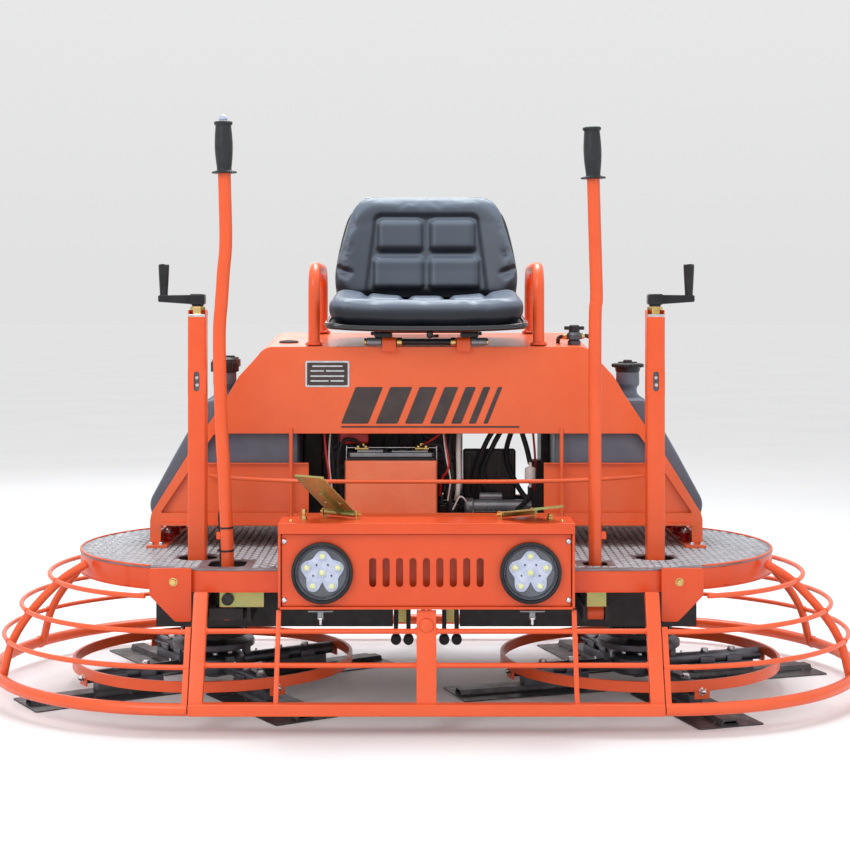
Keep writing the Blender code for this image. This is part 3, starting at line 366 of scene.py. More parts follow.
class Shape:
    """Collects closed solids, in the frame's own coordinates, into one mesh."""

    def __init__(self):
        self.bm = bmesh.new()

    def take(self, bm, place=None):
        if place is not None:
            bmesh.ops.transform(bm, matrix=place, verts=bm.verts)
        bmesh.ops.recalc_face_normals(bm, faces=bm.faces)
        mesh = bpy.data.meshes.new("solid")
        bm.to_mesh(mesh)
        bm.free()
        self.bm.from_mesh(mesh)
        bpy.data.meshes.remove(mesh)
        return self

    def box(self, corner, opposite, bevel=0.001, place=None, segments=2):
        """A bevelled box between any two opposite corners."""
        low = Vector(tuple(map(min, corner, opposite)))
        high = Vector(tuple(map(max, corner, opposite)))
        bm = bmesh.new()
        bmesh.ops.create_cube(bm, size=1.0)
        sized = Matrix.Translation((low + high) / 2) @ Matrix.Diagonal((*(high - low), 1.0))
        bmesh.ops.transform(bm, matrix=sized, verts=bm.verts)
        if bevel:
            bmesh.ops.bevel(bm, geom=bm.edges[:], offset=bevel, segments=segments, affect="EDGES", profile=0.5)
        return self.take(bm, place)

    def lathe(self, profile, place=None, steps=32, closed=False):
        """A body of revolution about Z from (radius, height) points."""
        bm = bmesh.new()
        rings = []
        for radius, height in profile:
            if radius < 1e-6:
                rings.append([bm.verts.new((0.0, 0.0, height))])
            else:
                angles = [2 * math.pi * i / steps for i in range(steps)]
                rings.append([bm.verts.new((radius * math.cos(a), radius * math.sin(a), height)) for a in angles])
        pairs = list(zip(rings, rings[1:])) + ([(rings[-1], rings[0])] if closed else [])
        for first, second in pairs:
            for i in range(steps):
                j = (i + 1) % steps
                corners = [
                    first[i % len(first)], first[j % len(first)], second[j % len(second)], second[i % len(second)],
                ]
                corners = list(dict.fromkeys(corners))
                if len(corners) > 2:
                    bm.faces.new(corners)
        return self.take(bm, place)

    def rod(self, start, end, radius, end_radius=None, edge=0.0006, steps=24):
        far = radius if end_radius is None else end_radius
        length = (Vector(end) - Vector(start)).length
        edge = min(edge, length * 0.4, radius * 0.5, far * 0.5)
        profile = [(0, 0), (radius - edge, 0), (radius, edge), (far, length - edge), (far - edge, length), (0, length)]
        return self.lathe(profile, along(start, end), steps)

    def tube(self, points, radius, steps=14, closed=False):
        """A round tube along the points, with its ends filled."""
        points = [Vector(point) for point in points]
        count = len(points)
        bm = bmesh.new()
        rings = []
        side = None
        for i, point in enumerate(points):
            before = points[i - 1] if i or closed else points[0]
            after = points[(i + 1) % count] if i < count - 1 or closed else points[-1]
            forward = (after - before).normalized()
            side = forward.orthogonal() if side is None else side
            side = (side - forward * side.dot(forward)).normalized()
            other = forward.cross(side)
            size = radius(i / (count - 1)) if callable(radius) else radius
            ring = []
            for k in range(steps):
                angle = 2 * math.pi * k / steps
                ring.append(bm.verts.new(point + (side * math.cos(angle) + other * math.sin(angle)) * size))
            rings.append(ring)
        pairs = list(zip(rings, rings[1:])) + ([(rings[-1], rings[0])] if closed else [])
        for first, second in pairs:
            for k in range(steps):
                j = (k + 1) % steps
                bm.faces.new((first[k], first[j], second[j], second[k]))
        if not closed:
            bm.faces.new(rings[0])
            bm.faces.new(rings[-1])
        return self.take(bm)

    def plate(self, outlines, thickness, place, edge=0.0006):
        """A flat plate from an outline and its holes, about its mid-plane, with its edges eased."""
        curve = bpy.data.curves.new("plate", "CURVE")
        curve.dimensions = "2D"
        curve.fill_mode = "BOTH"
        curve.extrude = thickness / 2 - edge
        curve.bevel_depth = edge
        curve.bevel_resolution = 1
        for outline in outlines:
            spline = curve.splines.new("POLY")
            spline.points.add(len(outline) - 1)
            for point, (x, y) in zip(spline.points, outline):
                point.co = (x, y, 0.0, 1.0)
            spline.use_cyclic_u = True
        drawn = placed("plate", curve)
        bpy.context.view_layer.update()
        mesh = bpy.data.meshes.new_from_object(drawn.evaluated_get(bpy.context.evaluated_depsgraph_get()))
        bm = bmesh.new()
        bm.from_mesh(mesh)
        bmesh.ops.remove_doubles(bm, verts=bm.verts, dist=1e-6)
        bpy.data.objects.remove(drawn)
        bpy.data.curves.remove(curve)
        bpy.data.meshes.remove(mesh)
        return self.take(bm, place)

    def washer(self, at, axis, size, thickness=0.0012):
        at = Vector(at)
        return self.rod(at, at + Vector(axis).normalized() * thickness, size, edge=0.0003)

    def hex_bolt(self, at, axis, size):
        """A hexagon head on a washer. size is the distance from the middle to a corner."""
        at = Vector(at)
        axis = Vector(axis).normalized()
        self.washer(at, axis, size * 1.25)
        place = along(at + axis * 0.0011, at + axis)
        profile = [(0, 0), (size, 0), (size, size * 0.62), (size * 0.86, size * 0.78), (0, size * 0.78)]
        return self.lathe(profile, place, 6)

    def acorn(self, at, axis, size):
        """A domed nut on a washer."""
        at = Vector(at)
        axis = Vector(axis).normalized()
        self.hex_bolt(at, axis, size)
        profile = [(size * 0.8 * math.cos(a), size * (0.8 + 0.8 * math.sin(a))) for a in (0, 0.35, 0.7, 1.05, 1.35)]
        return self.lathe(
            [(0, size * 0.5), (size * 0.8, size * 0.5)] + profile + [(0, size * 1.6)], along(at, at + axis), 20,
        )

    def screw(self, at, axis, size):
        """A button-head screw with a socket."""
        at = Vector(at)
        axis = Vector(axis).normalized()
        profile = [
            (0, size * 0.2), (size * 0.38, size * 0.2), (size * 0.42, size * 0.56), (size * 0.75, size * 0.42),
            (size, size * 0.12), (size, 0), (0, 0),
        ]
        return self.lathe(profile, along(at, at + axis), 24)

    def mesh(self, name):
        mesh = bpy.data.meshes.new(name)
        self.bm.to_mesh(mesh)
        self.bm.free()
        return mesh

    def make(self, name, material, body="chassis", replaces=(), slot=None, sharp=38):
        """Makes the piece on its body and hides the parts it replaces; a slot is looked up from the material unless
        another is named, but it is not given to the piece.
        """
        slot = slot or SLOTS[material]
        bmesh.ops.remove_doubles(self.bm, verts=self.bm.verts, dist=1e-7)
        mesh = self.mesh(name)
        made = placed(name, mesh)
        mesh.materials.append(material)
        mesh.shade_smooth()
        mesh.set_sharp_from_angle(angle=math.radians(sharp))
        weighted = made.modifiers.new("Weighted normals", "WEIGHTED_NORMAL")
        weighted.keep_sharp = True
        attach(made, body)
        if replaces:
            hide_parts(*replaces)


# ---------------------------------------------------------------- deck, guard and gate

LEVER_HOLES = ((-0.429, -0.295, 0.081, 0.092, 0.02), (0.364, -0.295, 0.054, 0.06, 0.016))
ENGINE_HOLE = (0.29, 0.06, 0.328)


def on_deck(x, y, margin):
    """Whether a point lies on the deck plate, clear of its edge and its holes."""
    if math.hypot(max(abs(x) - 0.426, 0.0), y) > 0.374 - margin:
        return False
    half, front, back = ENGINE_HOLE
    if abs(x) < half + margin and front - margin < y < back + margin:
        return False
    if math.hypot(abs(x) - POST_X, y - POST_Y) < 0.044 + margin:
        return False
    for hole_x, hole_y, width, depth, _ in LEVER_HOLES:
        if abs(x - hole_x) < width / 2 + margin and abs(y - hole_y) < depth / 2 + margin:
            return False
    return True


def add_tread(bm, x, y, angle, length):
    """One raised bar of the tread: a low lens with a short ridge."""
    half = length / 2
    wide = 0.0027
    turn = Matrix.Translation((x, y, DECK_TOP + 0.0004)) @ Matrix.Rotation(angle, 4, "Z")
    base = [(-half, 0), (-half * 0.6, -wide), (half * 0.6, -wide), (half, 0), (half * 0.6, wide), (-half * 0.6, wide)]
    low = [bm.verts.new(turn @ Vector((u, v, -0.0008))) for u, v in base]
    top = [bm.verts.new(turn @ Vector((u * 0.72, v * 0.45, 0.0012))) for u, v in base]
    for i in range(6):
        j = (i + 1) % 6
        bm.faces.new((low[i], low[j], top[j], top[i]))
    bm.faces.new(top)
    bm.faces.new(low[::-1])


def make_deck():
    holes = [rectangle(*hole) for hole in LEVER_HOLES]
    holes += [circle(side * POST_X, POST_Y, 0.044) for _, side in SIDES]
    half, front, back = ENGINE_HOLE
    holes.append(rectangle(0.0, (front + back) / 2, 2 * half, back - front, 0.006))
    plate = Shape().plate([stadium(0.7995, 0.3735)] + holes, 0.0035, flat(DECK_TOP - 0.0023))
    plate.make("deck_floor", PLATE, replaces=["deck_plate"])
    bars = Shape()
    pitch = 0.0165
    for row in range(-23, 24):
        for column in range(-49, 50):
            x = column * pitch
            y = row * pitch
            if on_deck(x, y, 0.012):
                angle = math.radians(45 if (row + column) % 2 else -45) * 0.45
                add_tread(bars.bm, x, y, angle, 0.019 if (row + column) % 2 else 0.0165)
    bars.make("deck_tread", TREAD)
    make_skirt()


def make_skirt():
    top = DECK_TOP - 0.0044
    skirt = Shape()
    height = top - 0.27
    skirt.plate([stadium(0.7975, 0.3715), stadium(0.7925, 0.3665)], height, flat(0.27 + height / 2))
    lip = [stadium(0.7995, 0.3735), stadium(0.786, 0.36)]
    skirt.plate(lip, 0.003, flat(0.2715), 0.0008)
    bolts = Shape()
    for _, side in SIDES:
        for facing in (-1, 1):
            outline = softened([(0.584, 0.3212), (0.584, 0.265), (0.53, 0.21), (0.497, 0.21), (0.497, 0.3212)], 0.004)
            skirt.plate([[(side * x, z) for x, z in outline]], 0.0075, upright(facing * 0.375), 0.0008)
            for x in (0.5035, 0.5795):
                skirt.box(
                    (side * (x - 0.003), facing * 0.332, 0.275), (side * (x + 0.003), facing * 0.375, 0.309), 0.0008,
                )
            bolts.hex_bolt((side * 0.534, facing * 0.3788, 0.293), (0, facing, 0), 0.0072)
    for x in (-0.64, -0.3, 0.3, 0.64):
        reach = 0.365 if abs(x) < 0.5 else 0.306
        skirt.box((x - 0.011, -reach, 0.276), (x + 0.011, reach, 0.3145), 0.0015)
    rim = [(x, y, DECK_TOP + 0.0002) for x, y in stadium(0.7972, 0.3712, 96) if y > 0.0 or abs(x) > 0.582]
    skirt.tube(rim, 0.0026, 10)
    # Painted shade: dark rings under the post and lever holes, with dark walls behind them, keep the holes dark.
    shade_sheets = Shape()
    for _, side in SIDES:
        shade_sheets.plate([circle(side * POST_X, POST_Y, 0.058), circle(side * POST_X, POST_Y, 0.035)], 0.003, flat(0.294))
        shade_sheets.box((side * POST_X - 0.048, -0.1615, 0.256), (side * POST_X + 0.048, -0.159, 0.3155), 0.0005)
    for x, y, _, _, _ in LEVER_HOLES:
        shade_sheets.plate([circle(x, y, 0.06), circle(x, y, 0.026)], 0.003, flat(0.294))
        shade_sheets.box((x - 0.055, -0.2475, 0.256), (x + 0.055, -0.245, 0.3155), 0.0005)
    shade_sheets.make("deck_painted_shade_sheets", DARK)
    skirt.make("deck_skirt", PAINTED_SHADE_ORANGE, replaces=["deck_frame"])
    bolts.make("gusset_bolts", BRASS)


FOOT_RING = (0.492, 0.497, 0.052, 0.013)
RODS = ((0.475, 0.468, 0.132, 0.0055), (0.436, 0.437, 0.199, 0.0055), (0.372, 0.407, 0.266, 0.0055))
GATE_TOP = Vector((0.0, -0.392, 0.3))
GATE_FOOT = Vector((0.0, -0.497, 0.052))


def ring_path(ring, side, first_x, steps=56):
    """Round one end of the guard, from the front at first_x to the middle of the back."""
    half_width, half_depth, height, _ = ring
    start = -90.0
    if first_x > ROTOR_X:
        start = -math.degrees(math.acos((first_x - ROTOR_X) / half_width))
    points = []
    for i in range(steps + 1):
        angle = math.radians(start + (90 - start) * i / steps)
        points.append((side * (ROTOR_X + half_width * math.cos(angle)), half_depth * math.sin(angle), height))
    if first_x < ROTOR_X:
        points.insert(0, (side * first_x, -half_depth, height))
    return points + [(side * 0.0005, half_depth, height)]


def gate_y(z):
    return GATE_FOOT.y + (GATE_TOP.y - GATE_FOOT.y) * (z - GATE_FOOT.z) / (GATE_TOP.z - GATE_FOOT.z)


def strip(shape, x, width, facing, top, thickness, bevel=0.0012):
    """A flat bar in the sloping plane of the gate, from the foot up to the given height."""
    start = Vector((x, GATE_FOOT.y - 0.003, GATE_FOOT.z - 0.008))
    end = Vector((x, gate_y(top), top))
    length = (end - start).length
    slope = Matrix.Rotation(-math.atan2(end.y - start.y, end.z - start.z), 4, "X")
    place = Matrix.Translation(start) @ slope
    if facing > 0:
        place = Matrix.Diagonal((1.0, -1.0, 1.0, 1.0)) @ place
    shape.box((-width / 2, -thickness / 2, 0.0), (width / 2, thickness / 2, length), bevel, place)


def bead(shape, at, axis, radius, thickness=0.0026):
    """A weld bead around a bar at the given point."""
    profile = []
    for i in range(8):
        angle = 2 * math.pi * i / 8
        profile.append((radius + thickness * math.cos(angle), thickness * math.sin(angle)))
    at = Vector(at)
    shape.lathe(profile, along(at, at + Vector(axis)), 20, closed=True)


def make_guards():
    for name, side in SIDES:
        guard = Shape()
        guard.tube(ring_path(FOOT_RING, side, 0.4885), FOOT_RING[3], 20)
        for ring in RODS[:2]:
            guard.tube(ring_path(ring, side, 0.4885), ring[3], 12)
        guard.tube(ring_path(RODS[2], side, 0.592), RODS[2][3], 12)
        for facing in (-1, 1):
            points = [(side * 0.752, facing * 0.2, 0.305)]
            for half_width, half_depth, height, tube_radius in reversed((FOOT_RING,) + RODS):
                reach = half_width * math.sqrt(1 - (0.2 / half_depth) ** 2)
                points.append((side * (ROTOR_X + reach - 0.008), facing * 0.2, height))
                bead(guard, (side * (ROTOR_X + reach), facing * 0.2, height), (0, 1, 0), tube_radius, 0.0022)
            guard.tube(smooth_path(points, 6), 0.0095, 16)
        strip(guard, side * 0.4945, 0.012, -1, 0.207, 0.016)
        for x in (0.0075, 0.3):
            strip(guard, side * x, 0.012, 1, 0.29, 0.016)
            for half_width, half_depth, height, tube_radius in RODS:
                bead(guard, (side * (x + 0.0065), half_depth, height), (1, 0, 0), tube_radius)
        guard.make(f"ring_guard_{name}", ORANGE, replaces=[f"guard_{name}"])


def make_gate():
    gate = Shape()
    gate.box((-0.487, -0.51, 0.04), (0.487, -0.484, 0.065), 0.0035, segments=3)
    for _, side in SIDES:
        strip(gate, side * 0.472, 0.03, -1, 0.2745, 0.018, 0.003)
        strip(gate, side * 0.308, 0.01, -1, 0.24, 0.01)
        for z in (0.135, 0.2):
            bead(gate, (side * 0.4565, gate_y(z), z), (1, 0, 0), 0.0055)
            bead(gate, (side * 0.021, gate_y(z), z), (1, 0, 0), 0.0055)
    strip(gate, 0.0, 0.041, -1, 0.24, 0.012)
    for z in (0.135, 0.2):
        gate.rod((-0.46, gate_y(z), z), (0.46, gate_y(z), z), 0.0055, steps=14)
    boss = along((0, gate_y(0.212) + 0.009, 0.212), (0, gate_y(0.212) - 1.0, 0.212))
    profile = [(0, 0), (0.015, 0), (0.015, 0.0195), (0.014, 0.0215), (0.0118, 0.0228), (0.0, 0.0236)]
    gate.lathe(profile, boss, 32)
    gate.make("front_gate_welded", ORANGE, replaces=["front_gate"])


# ---------------------------------------------------------------- lamps and pedals

LAMP_X = 0.217
LAMP_Z = 0.32
BOX_FRONT = -0.43


def make_lamp_box():
    box = Shape()
    box.box((-0.309, -0.4305, 0.4185), (0.309, -0.32, 0.424), 0.0016)
    box.box((-0.309, -0.43, 0.244), (0.309, -0.3805, 0.2495), 0.0014)
    for _, side in SIDES:
        box.box((side * 0.3035, -0.43, 0.244), (side * 0.309, -0.3805, 0.423), 0.0014)
    box.box((-0.309, -0.4345, 0.4015), (0.309, -0.4265, 0.424), 0.0018)
    box.box((-0.309, -0.3245, DECK_TOP + 0.0005), (0.309, -0.32, 0.423), 0.0012)
    box.make("lamp_box_folded", PAINTED_SHADE_ORANGE, replaces=["lamp_box"])

    holes = [circle(side * LAMP_X, LAMP_Z, 0.0585) for _, side in SIDES]
    holes += [rectangle(0.028 * (i - 4), LAMP_Z, 0.016, 0.062, 0.0078) for i in range(9)]
    z = (0.251 + 0.399) / 2
    panel = Shape().plate(
        [rectangle(0.0, z, 0.602, 0.399 - 0.251, 0.004)] + holes, 0.004, upright(BOX_FRONT + 0.0095), 0.0007,
    )
    panel.make("lamp_panel_slotted", PAINTED_SHADE_ORANGE, replaces=["lamp_panel"])
    # A plate behind the slots, in the orange with painted shade.
    behind = Shape().box((-0.15, -0.384, 0.262), (0.15, -0.3825, 0.378), 0.0005)
    behind.make("grille_backing", PAINTED_SHADE_ORANGE)

    screws = Shape()
    clips = Shape()
    for _, side in SIDES:
        for z in (0.385, 0.262):
            screws.screw((side * 0.297, BOX_FRONT + 0.0073, z), (0, -1, 0), 0.0066)
        x = side * (LAMP_X + 0.004)
        clips.box((x - 0.026, BOX_FRONT + 0.006, 0.2375), (x + 0.026, BOX_FRONT + 0.026, 0.2405), 0.0008)
        clips.box((x - 0.006, BOX_FRONT + 0.01, 0.226), (x + 0.006, BOX_FRONT + 0.022, 0.2385), 0.001)
        screws.hex_bolt((x, BOX_FRONT + 0.016, 0.226), (0, 0, -1), 0.0065)
        screws.rod((x, BOX_FRONT + 0.016, 0.222), (x, BOX_FRONT + 0.016, 0.209), 0.003)
    screws.make("lamp_fasteners", BRIGHT)
    clips.make("lamp_clips", GREY)
    for name, side in SIDES:
        make_headlight(name, side * LAMP_X)


def make_headlight(name, x):
    """A round work lamp: bezel, ribbed can, reflector cone, star board and six domes."""
    front = along((x, BOX_FRONT + 0.004, LAMP_Z), (x, BOX_FRONT - 1.0, LAMP_Z))
    bezel = [
        (0.0, -0.03), (0.03, -0.03), (0.05, -0.016), (0.056, -0.0038), (0.064, -0.0034), (0.0645, 0.004),
        (0.064, 0.0085), (0.0618, 0.0104), (0.0585, 0.01), (0.0565, 0.007), (0.056, 0.002),
        (0.054, -0.007), (0.0, -0.007),
    ]
    shell = Shape().lathe(bezel, front, 64)
    for i in range(16):
        angle = 2 * math.pi * i / 16
        fin = front @ Matrix.Rotation(angle, 4, "Z")
        shell.box((0.028, -0.0012, -0.032), (0.052, 0.0012, -0.012), 0.0004, fin)
    shell.make(f"headlight_bezel_{name}", BLACK, replaces=[f"headlight_{name}"], slot="lamp_housing")

    cone = [
        (0.0562, 0.0042), (0.0555, 0.0052), (0.0545, 0.0046), (0.05, -0.0036), (0.0, -0.004), (0.0, -0.0058),
        (0.0562, -0.005),
    ]
    Shape().lathe(cone, front, 64).make(f"headlight_reflector_{name}", REFLECTOR)

    spots = [(0.0, 0.0)] + [
        (0.0345 * math.cos(a), 0.0345 * math.sin(a)) for a in (math.radians(90 + 72 * i) for i in range(5))
    ]
    # The board has a lobe for each lamp and a notch between the two lowest ones.
    lobes = []
    for i in range(120):
        angle = math.radians(90 + 3 * i)
        lobe = 0.5 + 0.5 * math.cos(5 * math.radians(3 * i))
        reach = 0.035 + 0.0108 * lobe
        if 159 <= 3 * i <= 201:
            reach -= 0.016 * (0.5 + 0.5 * math.cos(math.radians((3 * i - 180) * 8.57)))
        lobes.append((reach * math.cos(angle), reach * math.sin(angle)))
    Shape().plate([lobes], 0.0024, front @ flat(-0.0018), 0.0006).make(f"headlight_board_{name}", BOARD)

    domes = Shape()
    collars = Shape()
    dots = Shape()
    for u, v in spots:
        seat = front @ Matrix.Translation((u, v, -0.0006))
        collars.lathe([(0.0, 0.0), (0.0092, 0.0), (0.0092, 0.0016), (0.008, 0.0022), (0.0, 0.0022)], seat, 28)
        domes.lathe(
            [(0.0, 0.0016), (0.0064, 0.0016), (0.0062, 0.003), (0.005, 0.0046), (0.0028, 0.0055), (0.0, 0.0058)], seat,
            24,
        )
    for i in range(5):
        angle = math.radians(90 + 36 + 72 * i)
        if i == 2:
            continue
        dots.lathe(
            [(0.0, -0.001), (0.0019, -0.001), (0.0019, 0.0006), (0.0, 0.0008)],
            front @ Matrix.Translation((0.02 * math.cos(angle), 0.02 * math.sin(angle), 0.0)), 12,
        )
    collars.make(f"headlight_collars_{name}", BOARD)
    domes.make(f"headlight_leds_{name}", LED)
    dots.make(f"headlight_rivets_{name}", DARK, slot="lamp_housing")


def make_pedals():
    for name, hinge_x, rise, length, side in (
        ("throttle_pedal", -0.182, 38, 0.134, -1), ("spray_pedal", 0.192, 9, 0.106, 1),
    ):
        hinge = Vector((hinge_x, -0.342, 0.434))
        turn = Matrix.Rotation(side * math.radians(38), 4, "Z") @ turned(-rise, "X")
        place = Matrix.Translation(hinge) @ turn
        tread = Shape()
        outline = softened([(-0.04, -length), (0.04, -length), (0.04, 0.003), (-0.04, 0.003)], 0.007)
        holes = [rectangle(x, -length * 0.3, 0.007, 0.014, 0.0034) for x in (-0.02, 0.02)]
        tread.plate([outline] + holes, 0.0024, place @ flat(0.0033), 0.0006)
        tread.box((-0.0398, -length, 0.003), (0.0398, -length + 0.0022, 0.0075), 0.0007, place)
        for i in range(6):
            y = -length * (0.48 + 0.075 * i)
            tread.box((-0.03, y - 0.0012, 0.004), (0.03, y + 0.0012, 0.0056), 0.0006, place)
        tread.lathe([(0.0, -0.0435), (0.006, -0.0435), (0.006, 0.0435), (0.0, 0.0435)], place @ turned(90, "Y"), 24)
        tread.box((-0.003, -length * 0.6, -0.006), (0.003, 0.0, 0.004), 0.0008, place)
        tread.make(f"{name}_plate", ZINC, name, replaces=[name])
    fittings = Shape()
    for x, side in ((-0.182, -1), (0.192, 1)):
        hinge = Matrix.Translation((x, -0.342, 0.434)) @ Matrix.Rotation(side * math.radians(38), 4, "Z")
        for end in (-1, 1):
            fittings.box((end * 0.0455, -0.007, -0.0115), (end * 0.049, 0.007, 0.008), 0.0012, hinge)
            low, high = sorted((end * 0.044, end * 0.056))
            fittings.lathe([(0.0, low), (0.0032, low), (0.0032, high), (0.0, high)], hinge @ turned(90, "Y"), 16)
    for x, top in ((-0.259, 0.446), (0.262, 0.437)):
        fittings.rod((x, -0.372, 0.422), (x, -0.372, top), 0.0036)
        fittings.hex_bolt((x, -0.372, 0.4242), (0, 0, 1), 0.0072)
        fittings.hex_bolt((x, -0.372, top - 0.0062), (0, 0, 1), 0.0058)
    for x in (-0.285, 0.285):
        fittings.screw((x, -0.395, 0.4242), (0, 0, 1), 0.0045)
    fittings.make("pedal_fittings", BRASS)


# ---------------------------------------------------------------- seat housing

def hood_top(y):
    return HOOD_TOP + HOOD_RISE * (y - FRONT_Y)


def mirrored(half):
    """A closed outline from its right half, listed from the top middle down."""
    return half + [(-x, z) for x, z in reversed(half)]


def make_seat_frames():
    shoulder = arc((0.352, HOOD_TOP - 0.0405), 0.04, 90, 30, 10)
    slope = [(0.43, 0.712), (0.456, 0.668), (0.548, 0.531), (0.622, 0.412), (0.631, 0.398), (0.6345, 0.382)]
    outline = mirrored(shoulder + slope + [(0.6345, 0.326), (0.6125, 0.326), (0.611, 0.362), (0.604, 0.3705)])
    window = softened(mirrored([(0.488, 0.582), (0.6135, 0.397)]), 0.008)
    for name, y, facing in (("front", FRONT_Y, -1), ("rear", REAR_Y, 1)):
        frame_plate = Shape()
        frame_plate.plate([outline, window], 0.0042, upright(y), 0.0012)
        for _, side in SIDES:
            edge = [(side * x, z) for x, z in shoulder[7:] + slope]
            inner = [(side * (x - 0.0036), z - 0.0015) for x, z in shoulder[7:] + slope]
            frame_plate.plate([edge + inner[::-1]], 0.017, upright(y - facing * 0.0085), 0.0008)
            foot = y + facing * 0.03
            frame_plate.box(
                (side * 0.592, foot, DECK_TOP + 0.0005), (side * 0.64, y - facing * 0.002, DECK_TOP + 0.008), 0.0015,
            )
            frame_plate.box((side * 0.6125, y - 0.002, DECK_TOP + 0.004), (side * 0.6345, y + 0.002, 0.345), 0.0008)
            bar = side * 0.311
            frame_plate.rod((bar, y + facing * 0.004, 0.38), (bar, y + facing * 0.004, 0.594), 0.0045, steps=14)
            if facing < 0:
                frame_plate.box((side * 0.296, y - 0.001, 0.3705), (side * 0.631, REAR_Y - 0.004, 0.3755), 0.001)
                panel = [(side * x, z) for x, z in (
                    (0.272, 0.374), (0.272, 0.512), (0.541, 0.512), (0.622, 0.392), (0.622, 0.374),
                )]
                frame_plate.plate([panel], 0.0025, upright(y + 0.0138), 0.0006)
                frame_plate.box((side * 0.272, y + 0.004, 0.5095), (side * 0.541, y + 0.015, 0.512), 0.0006)
                for inner, rise in ((0.594, 0.005), (0.6175, 0.03)):
                    frame_plate.box(
                        (side * inner, y, DECK_TOP + 0.0006), (side * 0.6215, REAR_Y, DECK_TOP + rise), 0.001,
                    )
        frame_plate.box((-0.612, y - facing * 0.001, 0.37), (0.612, y + facing * 0.014, 0.376), 0.0012)
        if facing < 0:
            bow = []
            for i in range(41):
                share = -1 + 2 * i / 40
                bow.append((0.5 * share, y - 0.14 * (1 - share ** 4), 0.485))
            frame_plate.tube(bow, 0.0045, 14)
        frame_plate.make(f"housing_{name}", PAINTED_LIGHT_HOOD_ORANGE, replaces=[f"seat_frame_{name}"])

    front = FRONT_Y + 0.0029
    back = REAR_Y - 0.0029
    outer = [(0.0, HOOD_TOP)] + arc((0.352, HOOD_TOP - 0.04), 0.04, 90, 30, 10) + [(0.424, 0.684)]
    inner = [(0.42, 0.684)] + arc((0.352, HOOD_TOP - 0.04), 0.036, 30, 90, 10) + [(0.0, HOOD_TOP - 0.004)]
    section = outer[1:] + inner[:-1]
    section = section + [(-x, z) for x, z in reversed(section)]
    rise = Matrix.Identity(4)
    rise[2][1] = HOOD_RISE
    rise[2][3] = -HOOD_RISE * FRONT_Y
    hood = Shape()
    hood.plate([section], back - front, rise @ upright((front + back) / 2), 0.0006)
    hood.box((-0.345, back - 0.003, 0.765), (0.345, back + 0.0006, hood_top(back) + 0.0006), 0.0008)
    hood.make("hood_folded", PAINTED_LIGHT_HOOD_ORANGE, replaces=["seat_deck"])

    plug = Shape()
    at = Vector((-0.325, 0.06, hood_top(0.06)))
    place = along(at, at + Vector((0.0, -HOOD_RISE, 1.0)))
    rim = [
        (0.0, 0.0005), (0.0175, 0.0005), (0.0225, 0.0006), (0.0235, 0.0022), (0.022, 0.004), (0.0185, 0.0042),
        (0.0165, 0.0022), (0.0, 0.0016),
    ]
    plug.lathe(rim, place, 32)
    plug.make("hood_grommet", RUBBER)
    make_housing_marks()


def make_housing_marks():
    """A plain striped decal, a blank lined plate and the fasteners of the housing."""
    y = FRONT_Y - 0.0029
    stripes = Shape()
    x = -0.196
    for width in (0.062, 0.05, 0.04, 0.031, 0.023, 0.016, 0.01):
        corners = [(x, 0.604), (x + width, 0.604), (x + width + 0.034, 0.688), (x + 0.034, 0.688)]
        stripes.plate([softened(corners, 0.003)], 0.0006, upright(y), 0.0001)
        x += width + 0.0175
    stripes.plate([rectangle(-0.196 + 0.205, 0.5965, 0.41, 0.0035, 0.0015)], 0.0006, upright(y), 0.0001)
    stripes.make("housing_stripes", DECAL)

    border = Shape().plate([rectangle(-0.2275, 0.718, 0.101, 0.06, 0.003)], 0.001, upright(y - 0.0001), 0.0002)
    border.make("blank_plate_border", BRIGHT)
    field = Shape().plate([rectangle(-0.2275, 0.718, 0.093, 0.052, 0.002)], 0.001, upright(y - 0.0004), 0.0002)
    field.make("blank_plate_field", DECAL)
    lines = Shape()
    for row, (left, right) in enumerate((
        (-0.262, -0.193), (-0.266, -0.236), (-0.23, -0.189), (-0.266, -0.189), (-0.266, -0.225),
    )):
        z = (0.736, 0.725, 0.725, 0.713, 0.702)[row]
        lines.plate([rectangle((left + right) / 2, z, right - left, 0.003, 0.0005)], 0.001, upright(y - 0.0007), 0.0002)
    lines.plate([rectangle(-0.205, 0.702, 0.03, 0.003, 0.0005)], 0.001, upright(y - 0.0007), 0.0002)
    for corner_x in (-0.2705, -0.1845):
        for z in (0.6915, 0.7445):
            lines.screw((corner_x, y - 0.0006, z), (0, -1, 0), 0.0018)
    lines.make("blank_plate_lines", BRIGHT)

    bolts = Shape()
    for facing, y in ((-1, FRONT_Y), (1, REAR_Y)):
        for _, side in SIDES:
            for x in (0.608, 0.63):
                bolts.hex_bolt((side * x, y + facing * 0.018, DECK_TOP + 0.008), (0, 0, 1), 0.0058)
    for _, side in SIDES:
        bolts.screw((side * 0.4, REAR_Y + 0.0024, 0.7), (0, 1, 0), 0.006)
        bolts.screw((side * 0.24, REAR_Y + 0.0024, 0.74), (0, 1, 0), 0.006)
    bolts.make("housing_bolts", BRIGHT)
    buffers = Shape()
    studs = Shape()
    for _, side in SIDES:
        for y in (0.03, 0.14, 0.25):
            foot = Vector((side * 0.6045, y, DECK_TOP + 0.005))
            buffers.lathe(
                [
                    (0.0, 0.0), (0.0115, 0.0), (0.0122, 0.004), (0.0104, 0.0085), (0.0122, 0.013), (0.0115, 0.017),
                    (0.0, 0.017),
                ],
                Matrix.Translation(foot), 28,
            )
            studs.washer(foot + Vector((0, 0, 0.017)), (0, 0, 1), 0.0085)
            studs.acorn(foot + Vector((0, 0, 0.0178)), (0, 0, 1), 0.007)
    buffers.make("housing_buffers", RED)
    studs.make("housing_studs", BRIGHT)


